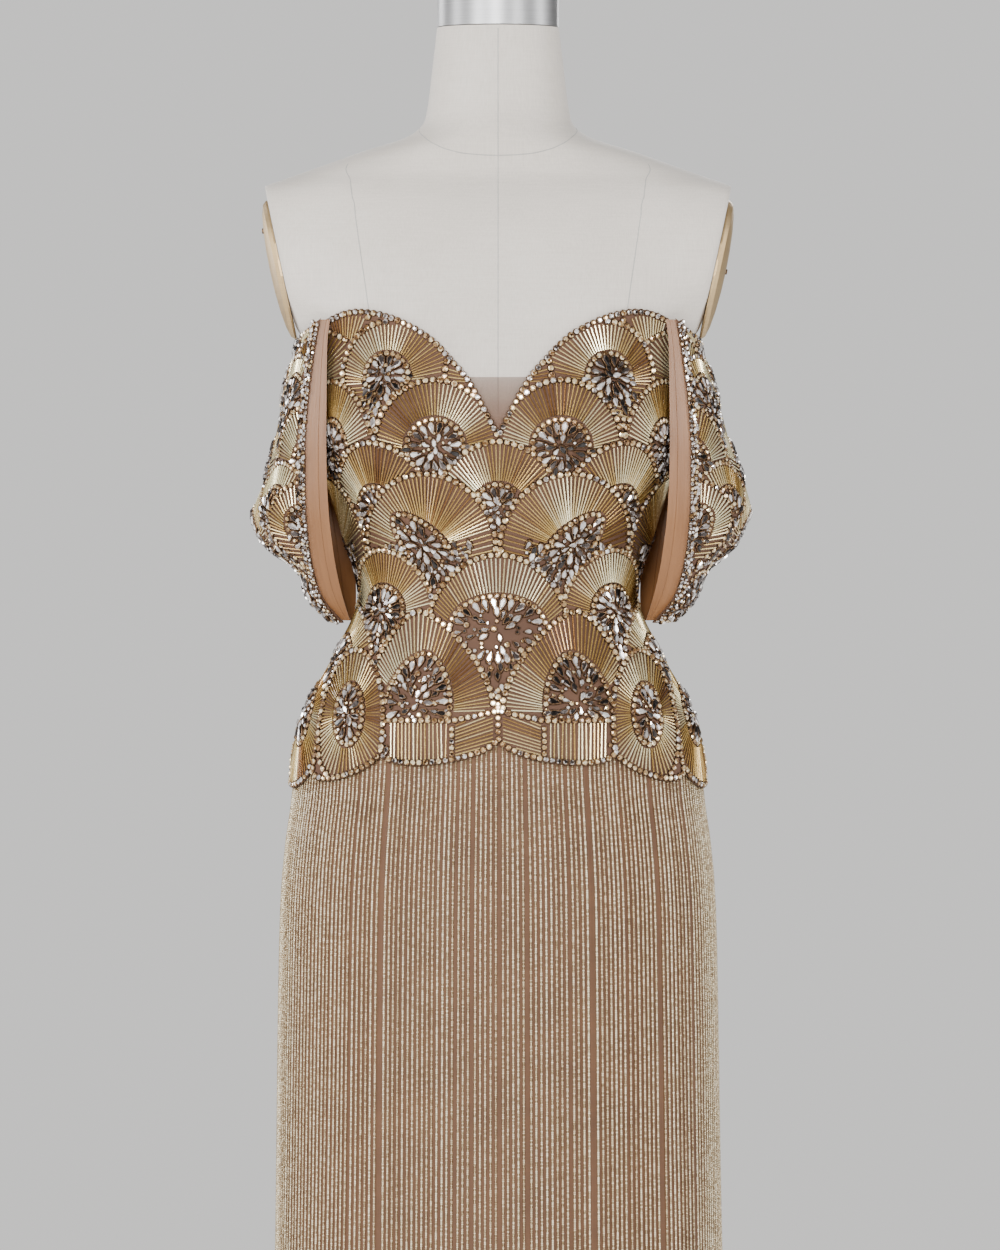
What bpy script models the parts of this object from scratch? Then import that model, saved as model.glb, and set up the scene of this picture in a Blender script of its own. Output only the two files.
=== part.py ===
"""Strapless beaded column gown with drop sleeves, standing on a limbless dress form.

Metres, +Z up. The origin is on the floor, under the stand's pole. The gown's front faces -Y,
and +X is on the right of someone who looks at the front.
"""

import math
from collections import namedtuple

import bmesh
import bpy
from mathutils import Vector

MM = 0.001

# ---------------------------------------------------------------- driving dimensions

SEAT_GAP = 0.4 * MM  # cloth over form, or one piece over another
FIT_GAP = 0.95 * MM  # bodice over form
OVER_SKIRT_GAP = 0.95 * MM
SEAM_GAP_ANGLE = 0.0018  # half of the parting at a seam, as an angle round the body

BODICE_WALL = 1.6 * MM
SKIRT_WALL = 1.5 * MM
MESH_WALL = 1.0 * MM
PANEL_WALL = 1.5 * MM
LINING_WALL = 1.2 * MM

WAIST_HEIGHT = 1.100
SKIRT_TOP = 1.020  # hidden under the bodice's lower part
SKIRT_HEM = 0.020
FORM_BOTTOM = 0.790
NECK_TOP = 1.569

BUST_HEIGHT = 1.236
BUST_ANGLE = math.radians(37)
BUST_RISE = 24 * MM
BUST_SPREAD_ANGLE = math.radians(22)
BUST_SPREAD_UP = 44 * MM
BUST_SPREAD_DOWN = 36 * MM

# Sections of the general figure: half width, and depth from the pole's axis to front and back.
Section = namedtuple("Section", "height half_width front back")

FIGURE = [
    Section(0.790, 0.138, 0.078, 0.092),
    Section(0.796, 0.152, 0.088, 0.104),
    Section(0.810, 0.160, 0.095, 0.112),
    Section(0.840, 0.167, 0.100, 0.120),
    Section(0.880, 0.1710, 0.104, 0.126),
    Section(0.920, 0.1690, 0.106, 0.127),
    Section(0.950, 0.1655, 0.107, 0.125),
    Section(0.980, 0.1630, 0.1065, 0.121),
    Section(1.000, 0.1575, 0.1055, 0.117),
    Section(1.020, 0.1485, 0.103, 0.112),
    Section(1.060, 0.128, 0.096, 0.098),
    Section(1.100, 0.111, 0.091, 0.086),
    Section(1.130, 0.115, 0.094, 0.084),
    Section(1.160, 0.125, 0.098, 0.086),
    Section(1.195, 0.138, 0.103, 0.091),
    Section(1.235, 0.149, 0.107, 0.096),
    Section(1.270, 0.153, 0.109, 0.099),
    Section(1.298, 0.1555, 0.108, 0.101),
    Section(1.312, 0.1585, 0.1065, 0.1015),
    Section(1.323, 0.1665, 0.104, 0.1015),
    Section(1.335, 0.1765, 0.102, 0.101),
    Section(1.355, 0.196, 0.097, 0.100),
    Section(1.380, 0.212, 0.090, 0.097),
    Section(1.405, 0.216, 0.082, 0.092),
    Section(1.425, 0.210, 0.073, 0.084),
    Section(1.437, 0.197, 0.066, 0.076),
    Section(1.446, 0.172, 0.061, 0.070),
    Section(1.457, 0.141, 0.059, 0.066),
    Section(1.468, 0.110, 0.059, 0.064),
    Section(1.478, 0.078, 0.059, 0.064),
    Section(1.488, 0.063, 0.057, 0.064),
    Section(1.500, 0.0585, 0.054, 0.062),
    Section(1.530, 0.0545, 0.051, 0.058),
    Section(1.569, 0.0500, 0.0475, 0.0525),
]

# The skirt's inner face where it hangs free, from the hip to the hem.
SKIRT_HANG = [
    Section(0.020, 0.1960, 0.1620, 0.1660),
    Section(0.150, 0.1920, 0.1535, 0.1600),
    Section(0.300, 0.1875, 0.1430, 0.1525),
    Section(0.450, 0.1838, 0.1335, 0.1455),
    Section(0.568, 0.1815, 0.1265, 0.1410),
    Section(0.650, 0.1802, 0.1220, 0.1385),
    Section(0.772, 0.1785, 0.1160, 0.1345),
    Section(0.854, 0.1765, 0.1110, 0.1310),
    Section(0.895, 0.1732, 0.1085, 0.1285),
    Section(0.936, 0.1670, 0.1060, 0.1240),
    Section(1.020, 0.1400, 0.0950, 0.1050),
]

# The hem's soft waves: how many go round, how deep they are at the hem, and their phase.
Wave = namedtuple("Wave", "count depth phase")
HEM_WAVES = [Wave(7, 2.6 * MM, 0.4), Wave(11, 1.6 * MM, 1.9)]
WAVES_FADE_OUT_AT = 0.80

# The bodice's upper edge, from centre front to centre back.
EdgePoint = namedtuple("EdgePoint", "degrees height")
NECKLINE = [
    EdgePoint(0.0, 1.2337),
    EdgePoint(8.4, 1.2763),
    EdgePoint(14.5, 1.2968),
    EdgePoint(20.3, 1.3132),
    EdgePoint(28.3, 1.3280),
    EdgePoint(36.0, 1.3350),
    EdgePoint(44.0, 1.3350),
    EdgePoint(56.0, 1.3270),
    EdgePoint(72.0, 1.3130),
    EdgePoint(90.0, 1.3060),
    EdgePoint(120.0, 1.2970),
    EdgePoint(150.0, 1.2890),
    EdgePoint(180.0, 1.2860),
]
MESH_TOP = 1.2860

# The scalloped lower edge: its notches, and lobes that hang below them.
NOTCHES = [
    EdgePoint(0.0, 0.9870),
    EdgePoint(35.0, 0.9760),
    EdgePoint(65.0, 0.9630),
    EdgePoint(96.0, 0.9610),
    EdgePoint(126.0, 0.9610),
    EdgePoint(156.0, 0.9610),
    EdgePoint(180.0, 0.9610),
]
LOBE_DROP = 15 * MM

# The grid that form and cloth share, so that their facets lie on each other.
FRONT_COLUMNS = 36
BACK_COLUMNS = 15  # on each side
FORM_LOWER_ROWS = [0.790, 0.797, 0.820, 0.860, 0.920, 0.945, 0.970, 0.995, 1.020]
FIT_FROM = 1.052  # from here up to the neckline, rows follow the neckline
FIT_ROWS = 10
BLEND_ROWS = 2
FORM_UPPER_ROWS = [1.360, 1.390, 1.418, 1.434, 1.445, 1.457, 1.469, 1.479, 1.490, 1.512, 1.569]
SKIRT_ROWS = [0.020, 0.260, 0.490, 0.690, 0.825, 0.885, 0.920, 0.945, 0.970, 0.995, 1.020]

# Scallop fans in staggered rows, each with a raised cluster of crystals at its heart. They lie
# a spacing apart, on both sides of centre front, and the first is that share of it away.
FanRow = namedtuple("FanRow", "height spacing first")
FAN_ROWS = [
    FanRow(1.2800, 92 * MM, 0.0),
    FanRow(1.2255, 102 * MM, 0.5),
    FanRow(1.1755, 106 * MM, 0.0),
    FanRow(1.1430, 122 * MM, 0.5),
    FanRow(1.0760, 105 * MM, 0.0),
]
FANS_A_SIDE = 5  # at most, in one row
FRONT_LOBE_CLUSTER = (74 * MM, 1.028)  # how far from centre front, and its height
ROSETTE_HEIGHT = 1.008  # in the other lobes of the scalloped edge
CLUSTER_RADIUS = 21 * MM
CLUSTER_RISE = 2.6 * MM
BEAD_RISE = 0.9 * MM  # what the bugle beads add all over
FLAT_BACK_FROM, FLAT_BACK_TO = 166, 173  # degrees: no domes beside the closure
OVAL_SHARE = 0.013  # evens out arc length round an oval that is 0.72 as deep as wide
GIRTH_IN_SHARE = 5.4  # metres of girth for each metre of half width

# Sleeve sections in plan: an arc from its front edge, out to the side and to its back edge,
# and how far in from there the lining's turned edge reaches.
SleeveSection = namedtuple(
    "SleeveSection", "height edge left_out right_out half_depth front_turned back_turned"
)
SLEEVE = [
    SleeveSection(1.0815, 0.1270, 0.1350, 0.1420, 0.0290, 0.1210, 0.1180),
    SleeveSection(1.1000, 0.1420, 0.1530, 0.1595, 0.0450, 0.1265, 0.1170),
    SleeveSection(1.1250, 0.1500, 0.1640, 0.1710, 0.0590, 0.1320, 0.1180),
    SleeveSection(1.1460, 0.1535, 0.1890, 0.1925, 0.0660, 0.1350, 0.1205),
    SleeveSection(1.1620, 0.1550, 0.1980, 0.2005, 0.0695, 0.1370, 0.1235),
    SleeveSection(1.1750, 0.1558, 0.1990, 0.2055, 0.0710, 0.1380, 0.1270),
    SleeveSection(1.1980, 0.1562, 0.1900, 0.2000, 0.0725, 0.1392, 0.1320),
    SleeveSection(1.2310, 0.1560, 0.1815, 0.1880, 0.0735, 0.1396, 0.1370),
    SleeveSection(1.2640, 0.1535, 0.1755, 0.1790, 0.0730, 0.1394, 0.1385),
    SleeveSection(1.2890, 0.1505, 0.1695, 0.1715, 0.0720, 0.1392, 0.1385),
    SleeveSection(1.3130, 0.1470, 0.1650, 0.1655, 0.0710, 0.1385, 0.1380),
    SleeveSection(1.3290, 0.1440, 0.1640, 0.1640, 0.0700, 0.1365, 0.1365),
]
SLEEVE_TOP_DIP = 17.5 * MM
SLEEVE_ROWS = [1.0815, 1.100, 1.122, 1.143, 1.160, 1.176, 1.202, 1.232, 1.262, 1.289]
SLEEVE_COLUMNS = 12
LINING_TRIM = 1 * MM  # the lining ends short of the panel's upper and lower edges
SLEEVE_CLUSTERS = [  # across from front -1 to back +1, and height
    (-0.55, 1.272),
    (0.55, 1.272),
    (0.0, 1.232),
    (-0.55, 1.192),
    (0.55, 1.192),
    (0.0, 1.158),
]

ARM_PLATE_HEIGHT = 1.3710
ARM_PLATE_OUT = 0.1766  # half width of the form at the plate's centre
ARM_PLATE_TILT = math.radians(12.1)
ARM_PLATE_HALF_TALL = 58 * MM
ARM_PLATE_HALF_DEEP = 46 * MM
ARM_PLATE_DOME = 10 * MM

NECK_CAP_RADIUS = 49.5 * MM
NECK_CAP_CENTRE_Y = 2.5 * MM
NECK_CAP_BAND = 23 * MM
NECK_CAP_DOME = 8 * MM

POLE_RADIUS = 14 * MM
BASE_RADIUS = 0.145
BASE_EDGE = 7 * MM
BASE_THICK = 13 * MM
HUB_RADIUS = 32 * MM
HUB_HEIGHT = 40 * MM

ZIP_HEIGHT = 1.2760  # the pull tab's pin
SLIDER_WIDE = 6 * MM
SLIDER_TALL = 9 * MM
SLIDER_THICK = 2 * MM
EAR_THICK = 0.9 * MM
PIN_OUT = 2.9 * MM  # from the slider's face to its pin
PIN_RADIUS = 0.55 * MM
EYE_RADIUS = 1.9 * MM
EYE_BORE = 0.90 * MM
PULL_WIDE = 3.0 * MM
PULL_LONG = 19 * MM
PULL_THICK = 1.2 * MM

# ---------------------------------------------------------------- interpolation


def column_at(table, key, column, place):
    """A smooth reading of one column of a table, where the key column equals place."""
    keys = [getattr(row, key) for row in table]
    values = [getattr(row, column) for row in table]
    if place <= keys[0]:
        return values[0]
    if place >= keys[-1]:
        return values[-1]
    i = max(j for j in range(len(keys) - 1) if keys[j] <= place)

    def slope(j):
        a, b = max(j - 1, 0), min(j + 1, len(keys) - 1)
        return (values[b] - values[a]) / (keys[b] - keys[a])

    span = keys[i + 1] - keys[i]
    t = (place - keys[i]) / span
    rise = values[i + 1] - values[i]
    bend = (slope(i) * span - rise) * (1 - t) + (rise - slope(i + 1) * span) * t
    return values[i] + rise * t + t * (1 - t) * bend


def ease(low, high, value):
    """0 at low, 1 at high, and smooth between."""
    t = min(1.0, max(0.0, (value - low) / (high - low)))
    return t * t * (3 - 2 * t)


# ---------------------------------------------------------------- surfaces


def ring_point(angle, height, half_width, front, back):
    """A point of a body-like ring: angle 0 is centre front, and positive towards +X."""
    depth = front if math.cos(angle) > 0 else back
    return Vector((half_width * math.sin(angle), -depth * math.cos(angle), height))


def bust(angle, height):
    """How far the two cups stand out of the plain ring."""
    spread = BUST_SPREAD_UP if height > BUST_HEIGHT else BUST_SPREAD_DOWN
    up = math.exp(-(((height - BUST_HEIGHT) / spread) ** 2))
    across = sum(
        math.exp(-(((angle - side * BUST_ANGLE) / BUST_SPREAD_ANGLE) ** 2)) for side in (-1, 1)
    )
    return BUST_RISE * up * across


def figure_point(angle, height):
    """A point of the form's skin."""
    half_width, front, back = (
        column_at(FIGURE, "height", name, height) for name in ("half_width", "front", "back")
    )
    plain = ring_point(angle, height, half_width, front, back)
    away = Vector((math.sin(angle), -math.cos(angle), 0.0))
    return plain + away * bust(angle, height)


def skirt_point(angle, height):
    """A point of the skirt's inner face: it lies on the hip, and hangs straight below it."""
    on_form = []
    for name in ("half_width", "front", "back"):
        form = column_at(FIGURE, "height", name, max(height, 0.88)) + SEAT_GAP
        on_form.append(max(form, column_at(SKIRT_HANG, "height", name, height)))
    freedom = 1 - ease(SKIRT_HEM, WAVES_FADE_OUT_AT, height)
    wave = sum(w.depth * math.cos(w.count * angle + w.phase) for w in HEM_WAVES) * freedom
    away = Vector((math.sin(angle), -math.cos(angle), 0.0))
    return ring_point(angle, height, *on_form) + away * wave


def outward(surface, angle, height, step=1e-4):
    """The outward normal of surface(angle, height)."""
    across = surface(angle + step, height) - surface(angle - step, height)
    upward = surface(angle, height + step) - surface(angle, height - step)
    return across.cross(upward).normalized()


def moved_out(surface, angle, height, distance):
    return surface(angle, height) + outward(surface, angle, height) * distance


# ---------------------------------------------------------------- edges and relief


def neckline(angle):
    return column_at(NECKLINE, "degrees", "height", abs(math.degrees(angle)))


def scalloped_hem(angle):
    """The bodice's lower edge: round lobes between notches."""
    degrees = abs(math.degrees(angle))
    before = max((n for n in NOTCHES[:-1] if n.degrees <= degrees), key=lambda n: n.degrees)
    after = NOTCHES[NOTCHES.index(before) + 1]
    across = 2 * (degrees - before.degrees) / (after.degrees - before.degrees) - 1
    lobe = math.sqrt(max(0.0, 1 - across**2))
    return column_at(NOTCHES, "degrees", "height", degrees) - LOBE_DROP * lobe


def turn_at(angle):
    """The share of the way round the body, by arc length, at an angle."""
    return angle / (2 * math.pi) + OVAL_SHARE * math.sin(2 * angle)


def lobe_centres():
    """The angles of the scalloped edge's lobes on the +X side."""
    return [math.radians((a.degrees + b.degrees) / 2) for a, b in zip(NOTCHES, NOTCHES[1:])]


def girth(height):
    return GIRTH_IN_SHARE * column_at(FIGURE, "height", "half_width", height)


def cluster_places():
    """How far round from centre front each cluster of crystals is, on either side, and its height."""
    places = []
    for row in FAN_ROWS:
        steps = [row.first + k for k in range(FANS_A_SIDE)]
        places += [(step * row.spacing, row.height) for step in steps]
    places.append(FRONT_LOBE_CLUSTER)
    for angle in lobe_centres()[1:]:
        places.append((turn_at(angle) * girth(ROSETTE_HEIGHT), ROSETTE_HEIGHT))
    return places


def bead_relief(angle, height):
    """What the beading adds to the bodice: bugles all over, and domes of crystals."""
    round_from_front = turn_at(abs(angle)) * girth(height)
    dome = 0.0
    for place, level in cluster_places():
        across = round_from_front - place
        share = 1 - (across**2 + (height - level) ** 2) / CLUSTER_RADIUS**2
        dome = max(dome, CLUSTER_RISE * max(0.0, share))
    flat_back = ease(FLAT_BACK_FROM, FLAT_BACK_TO, abs(math.degrees(angle)))
    return BEAD_RISE + dome * (1 - flat_back)


# ---------------------------------------------------------------- mesh makers


def material(name, colour, roughness, metallic=0.0):
    made = bpy.data.materials.new(name)
    made.use_nodes = True
    shader = made.node_tree.nodes["Principled BSDF"]
    shader.inputs["Base Color"].default_value = (*colour, 1.0)
    shader.inputs["Roughness"].default_value = roughness
    shader.inputs["Metallic"].default_value = metallic
    made.diffuse_color = (*colour, 1.0)
    return made


def place_mesh(name, mesh, finish, collection):
    made = bpy.data.objects.new(name, mesh)
    mesh.materials.append(finish)
    collection.objects.link(made)
    return made


def finished(name, bm, finish, collection):
    """Turns a bmesh into a smooth-shaded object."""
    mesh = bpy.data.meshes.new(name)
    bm.to_mesh(mesh)
    bm.free()
    mesh.shade_smooth()
    mesh.set_sharp_from_angle(angle=math.radians(50))
    return place_mesh(name, mesh, finish, collection)


def wall(name, inner, outer, columns, rows, finish, collection):
    """A cloth wall between two surfaces of (u, v), each from 0 to 1: a loft with closed rims."""
    bm = bmesh.new()

    def grid(surface):
        return [
            [bm.verts.new(surface(i / columns, j / rows)) for i in range(columns + 1)]
            for j in range(rows + 1)
        ]

    inside, outside = grid(inner), grid(outer)
    for j in range(rows):
        for i in range(columns):
            a, b = outside[j], outside[j + 1]
            bm.faces.new((a[i], a[i + 1], b[i + 1], b[i]))
            a, b = inside[j], inside[j + 1]
            bm.faces.new((a[i], b[i], b[i + 1], a[i + 1]))
    for i in range(columns):
        low_in, low_out = inside[0], outside[0]
        bm.faces.new((low_in[i], low_in[i + 1], low_out[i + 1], low_out[i]))
        top_in, top_out = inside[rows], outside[rows]
        bm.faces.new((top_in[i + 1], top_in[i], top_out[i], top_out[i + 1]))
    for j in range(rows):
        bm.faces.new((inside[j][0], outside[j][0], outside[j + 1][0], inside[j + 1][0]))
        last_in, last_out = inside[j][columns], outside[j][columns]
        next_in, next_out = inside[j + 1][columns], outside[j + 1][columns]
        bm.faces.new((last_out, last_in, next_in, next_out))
    return finished(name, bm, finish, collection)


def turned(name, profile, steps, finish, collection):
    """A turned solid: its profile runs from the top of the axis, down the outer side."""
    mesh = bpy.data.meshes.new(name)
    points = [(radius, 0.0, height) for radius, height in profile]
    mesh.from_pydata(points, [(i, i + 1) for i in range(len(points) - 1)], [])
    made = place_mesh(name, mesh, finish, collection)
    screw = made.modifiers.new("turn", "SCREW")
    screw.steps = screw.render_steps = steps
    screw.use_merge_vertices = True
    screw.merge_threshold = 1e-5
    screw.use_smooth_shade = True
    return made


def box(name, size, centre, collection, finish=None):
    bm = bmesh.new()
    bmesh.ops.create_cube(bm, size=1.0)
    bmesh.ops.scale(bm, vec=size, verts=bm.verts)
    bmesh.ops.translate(bm, vec=centre, verts=bm.verts)
    mesh = bpy.data.meshes.new(name)
    bm.to_mesh(mesh)
    bm.free()
    if finish:
        mesh.materials.append(finish)
    made = bpy.data.objects.new(name, mesh)
    collection.objects.link(made)
    return made


def rod_along_x(name, radius, length, centre, collection, sides=16):
    bm = bmesh.new()
    bmesh.ops.create_cone(
        bm, cap_ends=True, segments=sides, radius1=radius, radius2=radius, depth=length
    )
    turn = Vector((0, 0, 1)).rotation_difference(Vector((1, 0, 0))).to_matrix()
    bmesh.ops.rotate(bm, cent=(0, 0, 0), matrix=turn, verts=bm.verts)
    bmesh.ops.translate(bm, vec=centre, verts=bm.verts)
    mesh = bpy.data.meshes.new(name)
    bm.to_mesh(mesh)
    bm.free()
    made = bpy.data.objects.new(name, mesh)
    collection.objects.link(made)
    return made


def join_by(made, helper, operation):
    """Adds a Boolean with a helper object, which isn't rendered."""
    helper.hide_render = True
    helper.display_type = "WIRE"
    step = made.modifiers.new(operation.lower() + "_" + helper.name, "BOOLEAN")
    step.operation = operation
    step.object = helper


# ---------------------------------------------------------------- the gown


def fit_row(angle, share):
    """A height between FIT_FROM and the neckline."""
    return FIT_FROM + (neckline(angle) - FIT_FROM) * share


def over_skirt(angle, height, distance):
    """The bodice where it lies over the skirt's top: on the straight lines between the rows."""

    def node(level):
        if level > SKIRT_TOP:
            return moved_out(figure_point, angle, level, FIT_GAP + distance)
        return moved_out(skirt_point, angle, level, SKIRT_WALL + OVER_SKIRT_GAP + distance)

    levels = SKIRT_ROWS + [FIT_FROM]
    below = max(k for k in range(len(levels) - 1) if levels[k] <= height)
    share = (height - levels[below]) / (levels[below + 1] - levels[below])
    return node(levels[below]).lerp(node(levels[below + 1]), share)


def bodice_panel(name, first, last, columns, hem_rows, rows, finish, collection):
    """A beaded panel between two angles, from the scalloped edge up to the neckline."""

    def place(u, v):
        """The angle, the height, and how many rows up from FIT_FROM."""
        angle = first + (last - first) * u
        row = v * (hem_rows + rows) - hem_rows
        if row > -0.5:
            return angle, fit_row(angle, row / rows), row
        low = scalloped_hem(angle)
        return angle, low + (SKIRT_TOP - low) * (row + hem_rows) / (hem_rows - 1), row

    def inner(u, v):
        angle, height, row = place(u, v)
        if row < -0.5:
            return over_skirt(angle, height, 0.0)
        spot = row / rows * FIT_ROWS  # on the straight lines between the form's rows
        below = min(int(spot), FIT_ROWS - 1)
        ends = [fit_row(angle, (below + k) / FIT_ROWS) for k in (0, 1)]
        low, high = (moved_out(figure_point, angle, h, FIT_GAP) for h in ends)
        return low.lerp(high, spot - below)

    def outer(u, v):
        angle, height, row = place(u, v)
        thick = BODICE_WALL + bead_relief(angle, height)
        if row < -0.5:
            return over_skirt(angle, height, thick)
        return moved_out(figure_point, angle, height, FIT_GAP + thick)

    return wall(name, inner, outer, columns, hem_rows + rows, finish, collection)


def neck_mesh(finish, collection):
    """The sheer insert that fills the V between the cups, up to a straight edge."""
    low = NECKLINE[0].height + 4 * MM
    gap = 1.5 * SEAT_GAP

    def place(u, v):
        height = low + (MESH_TOP - low) * v
        reach = math.radians(column_at(NECKLINE[:4], "height", "degrees", height))
        reach = max(reach - 0.006, 0.002)
        return (2 * u - 1) * reach, height

    def inner(u, v):
        return moved_out(figure_point, *place(u, v), gap)

    def outer(u, v):
        return moved_out(figure_point, *place(u, v), gap + MESH_WALL)

    return wall("neck_mesh", inner, outer, 8, 6, finish, collection)


def skirt_panel(name, first, last, columns, finish, collection):
    """A panel of the column skirt, from under the bodice to the hem."""
    rows = len(SKIRT_ROWS) - 1

    def place(u, v):
        return first + (last - first) * u, SKIRT_ROWS[round(v * rows)]

    def inner(u, v):
        return skirt_point(*place(u, v))

    def outer(u, v):
        return moved_out(skirt_point, *place(u, v), SKIRT_WALL)

    return wall(name, inner, outer, columns, rows, finish, collection)


def sleeve_arc(across, height, out):
    """The sleeve's face in plan: across runs from the front edge, -1, to the back edge, 1."""
    edge, outer, half_depth = (
        column_at(SLEEVE, "height", name, height) for name in ("edge", out, "half_depth")
    )
    turn = across * math.pi / 2
    return Vector((edge + (outer - edge) * math.cos(turn), half_depth * math.sin(turn), height))


def sleeve_height(across, row):
    """The height of a row; the top one dips where the sleeve passes under the arm plate."""
    if row < len(SLEEVE_ROWS):
        return SLEEVE_ROWS[row]
    return SLEEVE[-1].height - SLEEVE_TOP_DIP * math.cos(across * math.pi / 2)


def sleeve_relief(across, height):
    dome = 0.0
    for where, level in SLEEVE_CLUSTERS:
        square = ((across - where) * 0.085) ** 2 + (height - level) ** 2
        dome = max(dome, CLUSTER_RISE * (1 - square / (0.9 * CLUSTER_RADIUS) ** 2))
    return BEAD_RISE + dome


def sleeve_panel(name, side, finish, collection):
    """The beaded outer panel of a drop sleeve. side is 1 on +X and -1 on -X."""
    rows = len(SLEEVE_ROWS)
    out = "right_out" if side > 0 else "left_out"

    def place(u, v):
        across = side * (2 * u - 1)
        return across, sleeve_height(across, round(v * rows))

    def face(across, height):
        return sleeve_arc(across, height, out)

    def at(u, v, distance):
        point = moved_out(face, *place(u, v), distance)
        return Vector((side * point.x, point.y, point.z))

    def inner(u, v):
        return at(u, v, -PANEL_WALL)

    def outer(u, v):
        return at(u, v, sleeve_relief(*place(u, v)))

    return wall(name, inner, outer, SLEEVE_COLUMNS, rows, finish, collection)


def sleeve_lining(name, side, finish, collection):
    """The silk lining: in from its turned front edge, round inside the panel, and in again."""
    rows, turned_columns = len(SLEEVE_ROWS), 2
    columns = SLEEVE_COLUMNS + 2 * turned_columns
    out = "right_out" if side > 0 else "left_out"

    def face(across, height):
        return sleeve_arc(across, height, out)

    def at(u, v, inset):
        step = round((u if side > 0 else 1 - u) * columns) - turned_columns
        past = max(-step, step - SLEEVE_COLUMNS, 0) / turned_columns
        across = min(1.0, max(-1.0, 2 * step / SLEEVE_COLUMNS - 1))
        height = sleeve_height(across, round(v * rows))
        point = moved_out(face, across, height, -inset)
        turned_in = "front_turned" if across < 0 else "back_turned"
        point.x += (column_at(SLEEVE, "height", turned_in, height) - point.x) * past
        end_trim = LINING_TRIM * ((v == 0) - (v == 1))
        return Vector((side * point.x, point.y, point.z + end_trim))

    def inner(u, v):
        return at(u, v, PANEL_WALL + SEAT_GAP + LINING_WALL)

    def outer(u, v):
        return at(u, v, PANEL_WALL + SEAT_GAP)

    return wall(name, inner, outer, columns, rows, finish, collection)


def zip_parts(finish, collection, cutters):
    """The slider, with ears and a pin, and the pull tab that swings on it."""
    seat = moved_out(
        figure_point, math.pi, ZIP_HEIGHT,
        SEAT_GAP * 2 + BODICE_WALL + bead_relief(math.pi, ZIP_HEIGHT) + 0.5 * MM,
    ).y
    face = seat + SLIDER_THICK
    pin = Vector((0.0, face + PIN_OUT, ZIP_HEIGHT))
    slider = box(
        "zip_slider", (SLIDER_WIDE, SLIDER_THICK, SLIDER_TALL),
        (0.0, seat + SLIDER_THICK / 2, ZIP_HEIGHT), collection, finish,
    )
    ear_reach = PIN_OUT + 1.2 * MM
    for side in (-1, 1):
        ear = box(
            f"ear_{'right' if side > 0 else 'left'}", (EAR_THICK, ear_reach, 2.6 * MM),
            (side * (SLIDER_WIDE - EAR_THICK) / 2, face + ear_reach / 2 - 0.4 * MM, ZIP_HEIGHT),
            cutters,
        )
        join_by(slider, ear, "UNION")
    join_by(slider, rod_along_x("pin", PIN_RADIUS, SLIDER_WIDE - EAR_THICK, pin, cutters), "UNION")

    tab = box(
        "zip_pull", (PULL_WIDE, PULL_THICK, PULL_LONG),
        (0.0, 0.0, -PULL_LONG / 2), collection, finish,
    )
    for vertex in tab.data.vertices:  # a drop shape, wider at its foot
        if vertex.co.z < -PULL_LONG / 2:
            vertex.co.x *= 1.5
    join_by(tab, rod_along_x("eye", EYE_RADIUS, PULL_WIDE, (0, 0, 0), cutters, 24), "UNION")
    join_by(tab, rod_along_x("eye_bore", EYE_BORE, 3 * PULL_WIDE, (0, 0, 0), cutters, 24), "DIFFERENCE")
    for helper in ("eye", "eye_bore"):
        cutters.objects[helper].location = pin
    tab.location = pin
    return pin


# ---------------------------------------------------------------- the dress form


def form_angles():
    """The form's columns: they are those of the cloth panels."""
    half, quarter = math.pi, math.pi / 2
    front = [-quarter + half * i / FRONT_COLUMNS for i in range(FRONT_COLUMNS + 1)]
    back = [quarter + quarter * i / BACK_COLUMNS for i in range(1, 2 * BACK_COLUMNS)]
    return front + back


def form_heights(angle):
    """The form's rows at this angle: level ones, ones that follow the neckline, level ones."""
    signed = (angle + math.pi) % (2 * math.pi) - math.pi
    fitted = [fit_row(signed, k / FIT_ROWS) for k in range(FIT_ROWS + 1)]
    top, level = fitted[-1], FORM_UPPER_ROWS[0]
    between = [top + (level - top) * k / (BLEND_ROWS + 1) for k in range(1, BLEND_ROWS + 1)]
    return FORM_LOWER_ROWS + fitted + between + FORM_UPPER_ROWS


def torso(finish, collection, cutters):
    """The form's body and neck, with a flat on each side for the arm plates."""
    bm = bmesh.new()
    columns = []
    for angle in form_angles():
        columns.append([bm.verts.new(figure_point(angle, h)) for h in form_heights(angle)])
    for column, following in zip(columns, columns[1:] + columns[:1]):
        for i in range(len(column) - 1):
            bm.faces.new((column[i], following[i], following[i + 1], column[i + 1]))
    bm.faces.new([column[0] for column in reversed(columns)])
    bm.faces.new([column[-1] for column in columns])
    made = finished("form_torso", bm, finish, collection)
    reach = 0.08
    for side, name in ((-1, "left"), (1, "right")):
        cutter = box(f"arm_cut_{name}", (reach, 0.30, 0.150), (reach / 2, 0.0, 0.0), cutters)
        cutter.location = (side * ARM_PLATE_OUT, 0.0, ARM_PLATE_HEIGHT)
        turn = ARM_PLATE_TILT if side > 0 else math.pi - ARM_PLATE_TILT
        cutter.rotation_euler = (0.0, turn, 0.0)
        join_by(made, cutter, "DIFFERENCE")
    return made


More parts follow.
